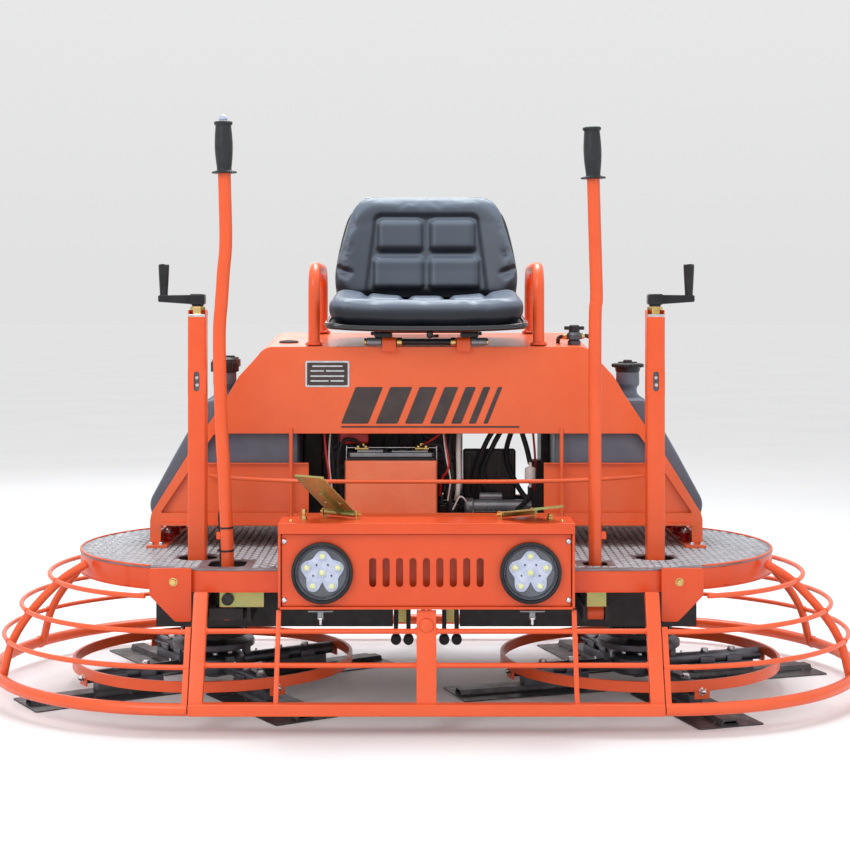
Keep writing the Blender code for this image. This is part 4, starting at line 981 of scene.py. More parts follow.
def make_tanks():
    outline = [
        (0.3, 0.38), (0.63, 0.38), (0.64, 0.415), (0.576, 0.533), (0.54, 0.596), (0.52, 0.64), (0.503, 0.655),
        (0.3, 0.655),
    ]
    for name, side in SIDES:
        tank = {"left": "fuel_tank", "right": "water_tank"}[name]
        body = Shape()
        rounded = softened([(side * x, z) for x, z in outline], 0.022, 6)
        # The moulding is drawn in, so that its rounded edges end at the CAD faces.
        middle = Vector((side * 0.46, 0.5))
        drawn = [tuple(middle + (Vector(p) - middle) * 0.965) for p in rounded]
        curve_place = upright((FRONT_Y + 0.018 + REAR_Y - 0.02) / 2)
        body.plate([drawn], REAR_Y - 0.02 - FRONT_Y - 0.018 - 0.0004, curve_place, 0.0085)
        seam_y = 0.139
        band = [tuple(middle + (Vector(p) - middle) * 1.022) for p in drawn]
        body.plate([band], 0.003, upright(seam_y), 0.0008)
        neck = [
            (0.0, 0.7165), (0.0265, 0.7165), (0.0275, 0.715), (0.0278, 0.69), (0.0268, 0.685), (0.0225, 0.68),
            (0.0215, 0.674),
            (0.0225, 0.666), (0.029, 0.659), (0.04, 0.652), (0.044, 0.644), (0.044, 0.638), (0.0, 0.638),
        ]
        body.lathe(neck, Matrix.Translation((side * 0.481, 0.1, 0.0)), 40)
        body.make(f"{tank}_moulding", TANK, replaces=[tank])
        straps = Shape()
        for y in (0.03, 0.25):
            strap = [tuple(middle + (Vector(p) - middle) * 1.014) for p in drawn]
            hollow = [tuple(middle + (Vector(p) - middle) * 1.003) for p in drawn]
            straps.plate([strap, hollow], 0.018, upright(y), 0.0006)
        straps.make(f"{tank}_straps", DARK)
    make_caps()


def knurled(shape, place, radius, low, high, teeth):
    """A gripping edge: a ring of small round ribs."""
    for i in range(teeth):
        angle = 2 * math.pi * i / teeth
        at = place @ Vector((radius * math.cos(angle), radius * math.sin(angle), 0.0))
        shape.rod((at.x, at.y, low), (at.x, at.y, high), 0.0017, steps=8)


def make_caps():
    fuel = Shape()
    place = Matrix.Translation((-0.481, 0.1, 0.0))
    fuel.lathe([
        (0.0, 0.752), (0.01, 0.752), (0.022, 0.7505), (0.029, 0.747), (0.0322, 0.74), (0.0325, 0.72), (0.0318, 0.7168),
        (0.0, 0.7168),
    ], place, 48)
    knurled(fuel, place, 0.0318, 0.718, 0.74, 28)
    fuel.box((-0.505, 0.0955, 0.7485), (-0.457, 0.1045, 0.756), 0.002)
    fuel.make("fuel_cap_moulded", BLACK, "fuel_cap", replaces=["fuel_cap"])
    latch = Shape()
    latch.box((-0.46, 0.088, 0.729), (-0.444, 0.112, 0.748), 0.0025)
    latch.box((-0.464, 0.094, 0.744), (-0.448, 0.106, 0.7525), 0.002)
    latch.make("fuel_cap_latch", finish(
        "latch_brown", (0.06, 0.022, 0.018), (0.1, 0.034, 0.026), (0.25, 0.42), scale=50.0,
        bumps=((NOISE, 300.0, 0.1, 0.0004),),
    ), "fuel_cap", slot="black_plastic")
    water = Shape()
    place = Matrix.Translation((0.481, 0.1, 0.0))
    water.lathe([
        (0.0, 0.7455), (0.0085, 0.7455), (0.0105, 0.7445), (0.011, 0.74), (0.016, 0.7385), (0.033, 0.7375),
        (0.0368, 0.7355),
        (0.0372, 0.7285), (0.03, 0.726), (0.0285, 0.717), (0.0, 0.7168),
    ], place, 48)
    knurled(water, place, 0.0366, 0.728, 0.736, 36)
    for k in range(3):
        water.box((-0.0225, -0.0022, 0.737), (0.0225, 0.0022, 0.741), 0.001, place @ turned(60 * k, "Z"))
    water.make("water_cap_moulded", BLACK, "water_cap", replaces=["water_cap"])


def make_armrests():
    for name, side in SIDES:
        x = side * 0.26
        front, back, top, bend = -0.022, 0.308, 0.964, 0.055
        points = [(front, hood_top(front) + 0.002), (front, 0.85)]
        points += arc((front + bend, top - bend), bend, 180, 90, 14)
        points += arc((back - bend, top - bend), bend, 90, 0, 14)
        points += [(back, 0.85), (back, hood_top(back) + 0.002)]
        hoop = Shape().tube([(x, y, z) for y, z in points], 0.0135, 24)
        for y in (front, back):
            foot = Vector((x, y, hood_top(y) + 0.0018))
            hoop.rod(foot, foot + Vector((0.0, 0.0, 0.0055)), 0.02, edge=0.001, steps=32)
            bead(hoop, foot + Vector((0.0, 0.0, 0.0065)), (0, 0, 1), 0.0138, 0.0022)
        hoop.make(f"armrest_hoop_{name}", ORANGE, replaces=[f"armrest_{name}"])


def make_valve():
    base = Vector((0.345, 0.005, hood_top(0.005) + 0.0006))
    place = Matrix.Translation(base)
    body = Shape()
    body.lathe([(0.0, 0.0), (0.015, 0.0), (0.0152, 0.008), (0.012, 0.0105), (0.012, 0.0175), (0.0, 0.0175)], place, 6)
    body.lathe([(0.0, 0.01), (0.0185, 0.0125), (0.0185, 0.0235), (0.014, 0.0285), (0.0, 0.0285)], place, 32)
    body.make("valve_body", ARM, "valve_knob")
    knob = Shape()
    knob.lathe(
        [(0.0, 0.046), (0.008, 0.046), (0.0118, 0.0445), (0.0128, 0.042), (0.0128, 0.029), (0.0, 0.0285)], place, 32,
    )
    outline = softened(
        [
            (-0.022, -0.0045), (-0.012, -0.0062), (0.012, -0.0062), (0.022, -0.0045), (0.022, 0.0045), (0.012, 0.0062),
            (-0.012, 0.0062), (-0.022, 0.0045),
        ],
        0.003,
    )
    knob.plate([outline], 0.0085, place @ flat(0.0385), 0.0014)
    knob.make("valve_handle", BLACK, "valve_knob", replaces=["valve_knob"])
    plumbing = Shape()
    plumbing.tube(
        smooth_path([base + Vector(p) for p in (
            (0.012, 0.0, 0.02), (0.03, 0.004, 0.02), (0.044, 0.014, 0.012), (0.05, 0.03, -0.004), (0.052, 0.04, -0.03),
        )]),
        0.0048, 14,
    )
    plumbing.tube(
        smooth_path([base + Vector(p) for p in (
            (-0.012, 0.0, 0.018), (-0.028, 0.01, 0.018), (-0.034, 0.03, 0.014), (-0.034, 0.05, 0.004),
        )]),
        0.0048, 14,
    )
    plumbing.make("valve_hoses", RUBBER)
    rings = Shape()
    rings.rod(base + Vector((0.015, 0.0, 0.02)), base + Vector((0.0235, 0.001, 0.02)), 0.0066)
    rings.rod(base + Vector((-0.015, 0.001, 0.018)), base + Vector((-0.0235, 0.007, 0.018)), 0.0066)
    rings.make("valve_unions", BRASS)


# ---------------------------------------------------------------- engine bay

def make_battery():
    low = Vector((-0.188, -0.036, 0.386))
    high = Vector((0.025, 0.062, 0.517))
    tray = Shape()
    tray.box(low, (high.x, low.y + 0.0035, high.z), 0.0012)
    tray.box((low.x, high.y - 0.0035, low.z), high, 0.0012)
    tray.box(low, (low.x + 0.0035, high.y, high.z), 0.0012)
    tray.box((high.x - 0.0035, low.y, low.z), high, 0.0012)
    tray.box(low, (high.x, high.y, low.z + 0.0035), 0.0012)
    for x in (-0.18, 0.017):
        tray.box((x - 0.01, -0.03, DECK_TOP + 0.0006), (x + 0.01, 0.056, low.z + 0.002), 0.001)
    # The tray takes the orange with painted light.
    tray.make("battery_tray_folded", PAINTED_LIGHT_PALE_ORANGE, replaces=["battery_tray"])
    case = Shape()
    inside = low + Vector((0.0046, 0.0046, 0.0046))
    case.box(inside, (high.x - 0.0046, high.y - 0.0046, 0.524), 0.003)
    case.box((inside.x + 0.002, inside.y + 0.002, 0.522), (high.x - 0.0066, high.y - 0.0066, 0.536), 0.004)
    for i in range(12):
        x = inside.x + 0.012 + i * 0.0164
        case.box((x, inside.y - 0.0006, 0.518), (x + 0.006, inside.y + 0.003, 0.5235), 0.0008)
    for i in range(6):
        x = -0.15 + i * 0.0276
        case.lathe(
            [(0.0, 0.535), (0.0075, 0.535), (0.0075, 0.5385), (0.0062, 0.5395), (0.0, 0.5395)],
            Matrix.Translation((x, -0.012, 0.0)), 20,
        )
    case.make("battery_case", BLACK, replaces=["battery"])
    lid = Shape()
    lid.box((-0.176, -0.0325, 0.525), (0.013, -0.0275, 0.5345), 0.0015)
    lid.box((-0.16, -0.029, 0.535), (-0.1, 0.004, 0.54), 0.0015)
    lid.box((-0.08, -0.03, 0.535), (0.004, 0.002, 0.539), 0.0015)
    lid.make("battery_clamp_bar", GREY, slot="black_plastic")
    brass = Shape()
    for x in (-0.15, -0.01):
        brass.rod((x, 0.03, 0.535), (x, 0.03, 0.553), 0.0078, 0.007)
        brass.rod((x, 0.03, 0.5375), (x, 0.03, 0.5465), 0.0125)
        brass.box((x - 0.006, 0.01, 0.5385), (x + 0.006, 0.024, 0.5455), 0.0015)
        brass.box((x - 0.016, -0.006, 0.5395), (x + 0.016, 0.012, 0.544), 0.0012)
        brass.hex_bolt((x - 0.009, 0.002, 0.544), (0, 0, 1), 0.0048)
        brass.hex_bolt((x + 0.009, 0.002, 0.544), (0, 0, 1), 0.0048)
    brass.make("battery_clamps", BRASS)
    rods = Shape()
    for x in (-0.1865, 0.0238):
        rods.rod((x, 0.014, 0.505), (x, 0.014, 0.548), 0.0022, steps=10)
    rods.rod((-0.1865, 0.014, 0.543), (0.0238, 0.014, 0.543), 0.0026, steps=10)
    rods.make("battery_hold_down", BRIGHT)


def bundle(shape, routes, radius, steps=10):
    for route in routes:
        shape.tube(smooth_path(route), radius, steps)


def make_engine_bay():
    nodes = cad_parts
    for name in ("engine", "muffler"):
        nodes[name].material_slots[0].material = CAST if name == "engine" else DARK

    cover = Shape()
    housing = along((-0.095, 0.096, 0.35), (-0.095, -1.0, 0.35))
    cover.lathe([
        (0.0, 0.016), (0.02, 0.016), (0.022, 0.022), (0.036, 0.022), (0.04, 0.016), (0.082, 0.013), (0.092, 0.006),
        (0.094, -0.004), (0.094, -0.018), (0.0, -0.018),
    ], housing, 64)
    for i in range(28):
        turn = housing @ Matrix.Rotation(2 * math.pi * i / 28, 4, "Z")
        cover.box((0.044, -0.0016, 0.01), (0.078, 0.0016, 0.0172), 0.0007, turn)
    for lean in (-38, 38):
        base = Matrix.Translation((-0.095, 0.2, 0.37)) @ turned(lean, "Y")
        cover.box((-0.05, -0.056, 0.198), (0.05, 0.056, 0.214), 0.005, base)
        for x in (-0.038, 0.038):
            for y in (-0.044, 0.044):
                cover.hex_bolt(base @ Vector((x, y, 0.213)), base.to_3x3() @ Vector((0, 0, 1)), 0.0052)
    cover.make("engine_covers", CAST)

    filter_can = Shape()
    place = Matrix.Translation((-0.095, 0.2, 0.0))
    profile = [(0.0, 0.656), (0.048, 0.656), (0.058, 0.654), (0.063, 0.648)]
    for i in range(6):
        z = 0.644 - i * 0.0065
        profile += [(0.0632, z), (0.0615, z - 0.0025)]
    profile += [(0.0632, 0.603), (0.055, 0.599), (0.0, 0.599)]
    filter_can.lathe(profile, place, 56)
    filter_can.lathe([(0.0, 0.668), (0.006, 0.668), (0.009, 0.664), (0.009, 0.6555), (0.0, 0.6555)], place, 24)
    # The belt cover stands behind the pale hose, with gaps on both sides.
    filter_can.box((0.088, 0.1, 0.398), (0.214, 0.128, 0.532), 0.006)
    for i in range(5):
        filter_can.box((0.096 + i * 0.0235, 0.0975, 0.41), (0.11 + i * 0.0235, 0.1015, 0.52), 0.0015)
    filter_can.rod((0.04, 0.06, 0.44), (0.07, 0.06, 0.44), 0.026)
    filter_can.box((0.03, 0.03, 0.376), (0.072, 0.062, 0.408), 0.004)
    filter_can.box((0.046, -0.01, 0.345), (0.088, 0.03, 0.38), 0.004)
    filter_can.rod((-0.15, 0.02, 0.56), (-0.2, 0.06, 0.572), 0.0165)
    filter_can.make("engine_black_parts", BLACK)

    starter = Shape()
    starter.rod((0.108, 0.06, 0.402), (0.236, 0.06, 0.402), 0.0145, edge=0.003, steps=36)
    starter.rod((0.23, 0.06, 0.402), (0.25, 0.06, 0.402), 0.0115, edge=0.002)
    starter.rod((0.09, 0.06, 0.402), (0.112, 0.06, 0.402), 0.019, edge=0.003, steps=36)
    starter.rod((0.125, 0.06, 0.424), (0.18, 0.06, 0.424), 0.009, edge=0.002)
    starter.box((0.06, 0.11, 0.345), (0.24, 0.14, 0.372), 0.004)
    starter.make("starter_motor", GREY, slot="engine_casting")

    clear = Shape()
    clear.lathe(
        [
            (0.0, 0.0), (0.0035, 0.0), (0.004, 0.01), (0.012, 0.013), (0.013, 0.016), (0.013, 0.043), (0.012, 0.046),
            (0.004, 0.049), (0.0035, 0.059), (0.0, 0.059),
        ],
        Matrix.Translation((0.243, 0.01, 0.45)), 28,
    )
    clear.make("fuel_filter", HOSE)

    hose = Shape()
    hose.tube(
        smooth_path([
            (0.078, 0.012, 0.655), (0.077, 0.01, 0.6), (0.075, 0.008, 0.54), (0.076, 0.01, 0.48), (0.074, 0.016, 0.44),
            (0.07, 0.03, 0.42),
        ]),
        0.0058, 16,
    )
    hose.make("breather_hose", HOSE)

    black = Shape()
    bundle(black, (
        [(0.19, 0.06, 0.69), (0.172, 0.05, 0.61), (0.14, 0.045, 0.55), (0.118, 0.06, 0.49), (0.11, 0.08, 0.43)],
        [(0.205, 0.07, 0.69), (0.185, 0.056, 0.6), (0.158, 0.052, 0.545), (0.132, 0.07, 0.48), (0.15, 0.09, 0.42)],
        [(0.215, 0.05, 0.68), (0.22, 0.04, 0.6), (0.236, 0.034, 0.54), (0.243, 0.014, 0.506)],
        [(0.243, 0.01, 0.452), (0.24, 0.02, 0.425), (0.215, 0.05, 0.395), (0.19, 0.09, 0.38)],
        [(0.225, 0.06, 0.67), (0.205, 0.06, 0.59), (0.19, 0.08, 0.52), (0.215, 0.09, 0.45), (0.25, 0.08, 0.4)],
    ), 0.0062, 12)
    bundle(black, (
        [
            (-0.235, 0.02, 0.66), (-0.228, 0.01, 0.59), (-0.22, 0.006, 0.53), (-0.214, 0.01, 0.46), (-0.206, 0.03, 0.4),
            (-0.205, 0.06, 0.34),
        ],
        [
            (-0.225, 0.03, 0.66), (-0.212, 0.016, 0.6), (-0.204, 0.01, 0.55), (-0.205, 0.006, 0.48),
            (-0.196, 0.02, 0.42), (-0.215, 0.04, 0.345),
        ],
        [
            (-0.15, 0.01, 0.544), (-0.165, -0.004, 0.56), (-0.19, -0.008, 0.562), (-0.204, 0.0, 0.53),
            (-0.208, 0.012, 0.47), (-0.222, 0.02, 0.4),
        ],
        [
            (-0.01, 0.01, 0.544), (0.012, 0.0, 0.552), (0.036, 0.0, 0.545), (0.046, 0.01, 0.5), (0.05, 0.02, 0.44),
            (0.052, 0.03, 0.39),
        ],
        [(0.06, 0.02, 0.6), (0.052, 0.006, 0.54), (0.06, 0.004, 0.48), (0.056, 0.01, 0.42), (0.066, 0.01, 0.365)],
    ), 0.0042)
    bundle(black, (
        [(-0.04, 0.06, 0.64), (0.0, 0.05, 0.6), (0.04, 0.04, 0.585), (0.09, 0.04, 0.6), (0.15, 0.06, 0.64)],
        [(-0.18, 0.06, 0.64), (-0.14, 0.04, 0.596), (-0.09, 0.034, 0.584), (-0.03, 0.036, 0.59), (0.03, 0.05, 0.64)],
    ), 0.01, 14)
    black.make("engine_bay_hoses", RUBBER)

    red = Shape()
    bundle(red, (
        [(-0.01, 0.014, 0.545), (0.006, 0.0, 0.558), (0.026, -0.004, 0.572), (0.048, 0.006, 0.592), (0.07, 0.03, 0.64)],
        [(0.034, 0.004, 0.64), (0.044, -0.004, 0.56), (0.052, -0.006, 0.5), (0.036, 0.002, 0.47), (0.032, 0.02, 0.43)],
        [
            (-0.232, 0.0, 0.66), (-0.238, -0.006, 0.6), (-0.234, -0.01, 0.54), (-0.226, -0.006, 0.47),
            (-0.232, 0.01, 0.41), (-0.226, 0.04, 0.35),
        ],
        [(0.232, 0.04, 0.68), (0.246, 0.03, 0.61), (0.252, 0.026, 0.56), (0.256, 0.03, 0.5), (0.254, 0.04, 0.44)],
    ), 0.0028)
    red.box((-0.205, 0.004, 0.552), (-0.134, 0.04, 0.583), 0.008, segments=3)
    red.make("engine_bay_red_cables", RED, slot="black_plastic")

    pale = Shape()
    bundle(pale, (
        [
            (0.042, -0.004, 0.64), (0.04, -0.008, 0.58), (0.047, -0.008, 0.52), (0.056, -0.002, 0.47),
            (0.05, 0.006, 0.42),
        ],
        [(0.062, 0.0, 0.4), (0.078, -0.006, 0.43), (0.092, 0.0, 0.42), (0.098, 0.02, 0.4)],
        [(-0.216, -0.006, 0.655), (-0.222, -0.012, 0.59), (-0.226, -0.01, 0.52), (-0.22, -0.004, 0.45)],
    ), 0.0019)
    pale.make("engine_bay_pale_wires", HOSE)

    fins = Shape()
    exhaust = along((0.072, 0.245, 0.345), (1.0, 0.245, 0.345))
    fins.lathe([(0.0, 0.0), (0.034, 0.0), (0.0425, 0.006), (0.0425, 0.172), (0.034, 0.178), (0.0, 0.178)], exhaust, 48)
    for z in (0.01, 0.08, 0.168):
        fins.lathe(
            [(0.0425, z - 0.003), (0.044, z - 0.002), (0.044, z + 0.002), (0.0425, z + 0.003)], exhaust, 48,
            closed=True,
        )
    fins.tube(
        smooth_path([
            (0.085, 0.245, 0.38), (0.085, 0.245, 0.425), (0.07, 0.24, 0.45), (0.03, 0.225, 0.47), (0.0, 0.215, 0.48),
        ]),
        0.0125, 18,
    )
    for i in range(16):
        fins.box((0.095 + 0.0088 * i, 0.289, 0.322), (0.1 + 0.0088 * i, 0.293, 0.368), 0.001)
    fins.make("exhaust_shell", ARM, replaces=["muffler"], slot="dark_paint")
    block = Shape()
    block.box((-0.262, 0.15, 0.42), (0.088, 0.262, 0.598), 0.012)
    for i in range(9):
        block.box((-0.25 + 0.037 * i, 0.1455, 0.44), (-0.232 + 0.037 * i, 0.152, 0.585), 0.0025)
    block.box((-0.297, 0.14, 0.33), (-0.25, 0.27, 0.65), 0.006)
    block.box((0.276, 0.14, 0.37), (0.298, 0.27, 0.65), 0.004)
    block.box((0.251, 0.14, 0.37), (0.298, 0.2, 0.5), 0.006)
    block.box((-0.297, 0.2935, 0.3225), (0.297, 0.299, 0.4), 0.001)
    block.make("engine_bay_covers", DARK)
    rear = Shape()
    rear.box((-0.2, 0.3, 0.27), (0.02, 0.309, 0.41), 0.006)
    rear.rod((-0.15, 0.3, 0.34), (-0.15, 0.3145, 0.34), 0.033, edge=0.003, steps=40)
    rear.rod((-0.06, 0.3, 0.3), (-0.06, 0.316, 0.3), 0.012, edge=0.002)
    for x in (-0.19, -0.09, 0.01):
        for z in (0.28, 0.4):
            rear.hex_bolt((x, 0.3088, z), (0, 1, 0), 0.006)
    rear.make("engine_rear_cover", CAST)


# ---------------------------------------------------------------- running gear

def make_under_frame():
    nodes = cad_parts
    for name in ("under_frame", "gearbox_left", "gearbox_right", "gearbox_yoke", "lever_yoke"):
        nodes[name].material_slots[0].material = DARK
    bolts = Shape()
    for _, side in SIDES:
        for facing in (-1, 1):
            y = facing * 0.15
            for x in (0.11, 0.19, 0.3, 0.56, 0.59):
                bolts.hex_bolt((side * x, y, 0.236), (0, facing, 0), 0.0068)
            for x in (0.15, 0.3, 0.54):
                bolts.hex_bolt((side * x, y, 0.207), (0, facing, 0), 0.0058)
    bolts.make("under_frame_bolts", BRIGHT)
    plates = Shape()
    # Yellow plates under the skirt, and the strips with bumpers in the middle gap.
    plates.box((-0.4387, -0.362, 0.237), (-0.3443, -0.358, 0.288), 0.001)
    plates.box((0.34, -0.362, 0.238), (0.3815, -0.358, 0.288), 0.001)
    for _, side in SIDES:
        plates.box((side * 0.035, -0.156, 0.166), (side * 0.063, -0.15, 0.212), 0.0012)
        plates.box((side * 0.04, -0.15, 0.2), (side * 0.11, -0.115, 0.2495), 0.002)
    plates.make("under_brackets", ZINC)
    bumpers = Shape()
    for _, side in SIDES:
        bumpers.box((side * 0.028, -0.149, 0.2), (side * 0.09, -0.145, 0.249), 0.001)
        for x in (0.04, 0.068):
            bumpers.box((side * (x - 0.005), -0.158, 0.134), (side * (x + 0.005), -0.144, 0.205), 0.0015)
            bumpers.rod((side * x, -0.14, 0.128), (side * x, -0.164, 0.128), 0.0115, edge=0.0025, steps=28)
    bumpers.rod((-0.4207, -0.364, 0.2545), (-0.4207, -0.374, 0.2545), 0.0125, edge=0.002, steps=28)
    bumpers.rod((-0.4207, -0.358, 0.2545), (-0.4207, -0.366, 0.2545), 0.008)
    bumpers.make("under_bumpers", RUBBER)


def make_gearboxes():
    for name, side in SIDES:
        body = f"gearbox_{name}"
        x = side * ROTOR_X
        case = Shape()
        for i in range(12):
            turn = Matrix.Translation((x, 0.0, 0.0)) @ turned(30 * i, "Z")
            case.box((0.064, -0.0022, 0.116), (0.0765, 0.0022, 0.149), 0.0012, turn)
        case.lathe(
            [(0.0, 0.112), (0.076, 0.112), (0.0785, 0.1145), (0.0785, 0.121), (0.07, 0.123), (0.0, 0.123)],
            Matrix.Translation((x, 0, 0)), 48,
        )
        for facing in (-1, 1):
            case.lathe(
                [(0.0, 0.0), (0.04, 0.0), (0.042, 0.002), (0.042, 0.006), (0.03, 0.009), (0.0, 0.009)],
                along((x, facing * 0.07, 0.2), (x, facing * 1.0, 0.2)), 36,
            )
        for k in range(5):
            case.box((x - 0.06, -0.0755, 0.158 + 0.0165 * k), (x + 0.06, 0.0755, 0.1615 + 0.0165 * k), 0.001)
        case.make(f"gearbox_ribs_{name}", DARK, body)
        bolts = Shape()
        for facing in (-1, 1):
            for k in range(4):
                angle = math.radians(45 + 90 * k)
                bolts.hex_bolt(
                    (x + 0.034 * math.cos(angle), facing * 0.0765, 0.2 + 0.034 * math.sin(angle)), (0, facing, 0),
                    0.0048,
                )
        for k in range(6):
            angle = math.radians(60 * k + 15)
            bolts.hex_bolt((x + 0.072 * math.cos(angle), 0.072 * math.sin(angle), 0.123), (0, 0, 1), 0.004)
        bolts.hex_bolt((x + 0.048 * side, -0.0765, 0.172), (0, -1, 0), 0.0075)
        bolts.hex_bolt((x - 0.03, POST_Y - 0.024, 0.2705), (0, 0, 1), 0.005)
        bolts.make(f"gearbox_bolts_{name}", BRIGHT, body)


def make_cranks():
    for name, side in SIDES:
        x = side * POST_X
        y = POST_Y
        place = Matrix.Translation((x, y, 0.0))
        outline = rectangle(0.0, 0.0, 0.0388, 0.0388, 0.0045)
        post = Shape()
        post.plate([outline], 0.851 - 0.735, place @ flat((0.851 + 0.735) / 2), 0.0006)
        # Above the front face's top edge the tube's other three walls go on behind the cap.
        walls = [
            (-0.0194, -0.015), (-0.0194, 0.0194), (0.0194, 0.0194), (0.0194, -0.015), (0.018, -0.015), (0.018, 0.018),
            (-0.018, 0.018), (-0.018, -0.015),
        ]
        post.plate([walls], 0.016, place @ flat(0.858), 0.0002)
        post.plate([outline], 0.683 - 0.274, place @ flat((0.683 + 0.274) / 2), 0.0006)
        # Around the scale's slot the tube is drawn as a U with two jambs.
        u_shape = [(-0.0194, -0.015), (-0.0194, 0.0194), (0.0194, 0.0194), (0.0194, -0.015)]
        post.plate([softened(u_shape, 0.0035)], 0.0522, place @ flat(0.709), 0.0004)
        jambs = upright(y - 0.0169)
        slot = rectangle(x, 0.709, 0.013, 0.044, 0.0062)
        post.plate([rectangle(x, 0.709, 0.0388, 0.0545, 0.0005), slot], 0.0049, jambs, 0.0003)
        post.box((x - 0.034, y - 0.028, 0.2712), (x + 0.034, y + 0.028, 0.277), 0.0015)
        bead(post, (x, y, 0.2785), (0, 0, 1), 0.0215, 0.0024)
        post.make(f"crank_post_tube_{name}", ORANGE, f"gearbox_{name}", replaces=[f"crank_post_{name}"])
        back = Shape().plate([rectangle(x, 0.709, 0.0118, 0.043, 0.0056)], 0.001, upright(y - 0.0156), 0.0002)
        back.make(f"pitch_scale_{name}", ARM, f"gearbox_{name}")
        marks = Shape()
        for k in range(7):
            z = 0.695 + 0.0046 * k
            marks.box(
                (x - 0.004, y - 0.0166, z - 0.0004), (x - 0.0004 if k % 2 else x + 0.0016, y - 0.0158, z + 0.0004), 0.0,
            )
        marks.make(f"pitch_marks_{name}", DECAL, f"gearbox_{name}")
        pointer = Shape().rod((x + 0.0008, y - 0.0182, 0.701), (x + 0.0008, y - 0.0158, 0.701), 0.0042, steps=20)
        pointer.rod((x, y - 0.019, 0.717), (x, y - 0.0158, 0.717), 0.004, steps=20)
        pointer.make(f"pitch_pointer_{name}", BRIGHT, f"gearbox_{name}")
        cap = Shape()
        cap.box((x - 0.019, y - 0.019, 0.85), (x + 0.019, y + 0.0178, 0.857), 0.0016)
        cap.make(f"crank_cap_{name}", BRIGHT, f"gearbox_{name}")
        bush = Shape()
        bush.lathe(
            [(0.0, 0.8735), (0.0155, 0.8735), (0.0168, 0.872), (0.0168, 0.859), (0.0155, 0.857), (0.0, 0.857)], place,
            6,
        )
        bush.make(f"crank_bush_{name}", BRASS, f"gearbox_{name}")
        make_crank_arm(name, side, x, y)


def make_crank_arm(name, side, x, y):
    far = x + side * 0.075
    crank = Shape()
    crank.box((x - 0.0168, y - 0.0168, 0.8775), (x + 0.0168, y + 0.0168, 0.9018), 0.0045, segments=3)
    tapered = [(x, 0.879), (x, 0.8985), (x + side * 0.0855, 0.8975), (x + side * 0.0855, 0.885)]
    crank.plate([softened(tapered, 0.002)], 0.018, upright(y), 0.0012)
    crank.rod((x, y, 0.8737), (x, y, 0.879), 0.013, edge=0.0008)
    crank.make(f"crank_arm_{name}", BLACK, f"crank_{name}", replaces=[f"crank_{name}"])
    grip = Shape()
    profile = [
        (0.0, 0.9672), (0.01, 0.9672), (0.0116, 0.9655), (0.0119, 0.962), (0.0112, 0.945), (0.01, 0.922),
        (0.0088, 0.903), (0.0088, 0.898), (0.0078, 0.8958), (0.0, 0.8958),
    ]
    grip.lathe(profile, Matrix.Translation((far, y, 0.0)), 32)
    grip.make(f"crank_handle_{name}", BLACK, f"crank_grip_{name}", replaces=[f"crank_grip_{name}"])
    stud = Shape().rod((far, y, 0.967), (far, y, 0.968), 0.0048, edge=0.0004)
    stud.make(f"crank_stud_{name}", GREY, f"crank_grip_{name}")


# ---------------------------------------------------------------- rotors

ARM_ANGLES = {"left": -57.5, "right": -72.0}
ARM_Z = 0.046


def make_rotors():
    for name, side in SIDES:
        middle = Matrix.Translation((side * ROTOR_X, 0.0, 0.0))
        ring = Shape()
        ring.plate([circle(0, 0, 0.3215, 96), circle(0, 0, 0.3165, 96)], 0.0236, middle @ flat(0.058), 0.0012)
        nuts = Shape()
        hub_bolts = Shape()
        for k in range(4):
            turn = middle @ turned(ARM_ANGLES[name] + 90 * k, "Z")
            ring.box((0.3165, -0.018, 0.029), (0.321, 0.018, 0.067), 0.0014, turn)
            out = turn.to_3x3() @ Vector((1, 0, 0))
            nuts.acorn(turn @ Vector((0.3214, 0.0, ARM_Z)), out, 0.007)
            for spread in (-22, 22):
                at = turn @ turned(spread, "Z") @ Vector((0.049, 0.0, 0.0708))
                hub_bolts.hex_bolt(at, (0, 0, 1), 0.0055)
        ring.make(f"stabiliser_ring_{name}", ORANGE, f"rotor_{name}", replaces=[f"ring_{name}"])
        nuts.make(f"ring_nuts_{name}", BRIGHT, f"rotor_{name}")
        hub = Shape()
        hub.lathe([
            (0.0, 0.111), (0.027, 0.111), (0.0285, 0.1095), (0.029, 0.076), (0.032, 0.0725), (0.057, 0.0712),
            (0.064, 0.068),
            (0.0695, 0.062), (0.07, 0.06), (0.07, 0.032), (0.068, 0.029), (0.06, 0.0245), (0.0, 0.0245),
        ], middle, 64)
        hub.lathe([(0.0, 0.013), (0.02, 0.013), (0.023, 0.015), (0.023, 0.025), (0.0, 0.025)], middle, 6)
        hub.make(f"rotor_hub_{name}", ARM, f"rotor_{name}", replaces=[f"spider_{name}"])
        hub_bolts.make(f"hub_bolts_{name}", BRIGHT, f"rotor_{name}")
        plate = Shape().lathe(
            [
                (0.0345, 0.0865), (0.093, 0.0865), (0.0948, 0.0885), (0.0948, 0.0995), (0.093, 0.1015), (0.042, 0.1018),
                (0.0345, 0.1005),
            ],
            middle, 64, closed=True,
        )
        plate.make(f"pressure_plate_turned_{name}", ARM, f"pressure_plate_{name}", replaces=[f"pressure_plate_{name}"])
        for k in range(4):
            make_blade(name, k, middle @ turned(ARM_ANGLES[name] + 90 * k, "Z"))


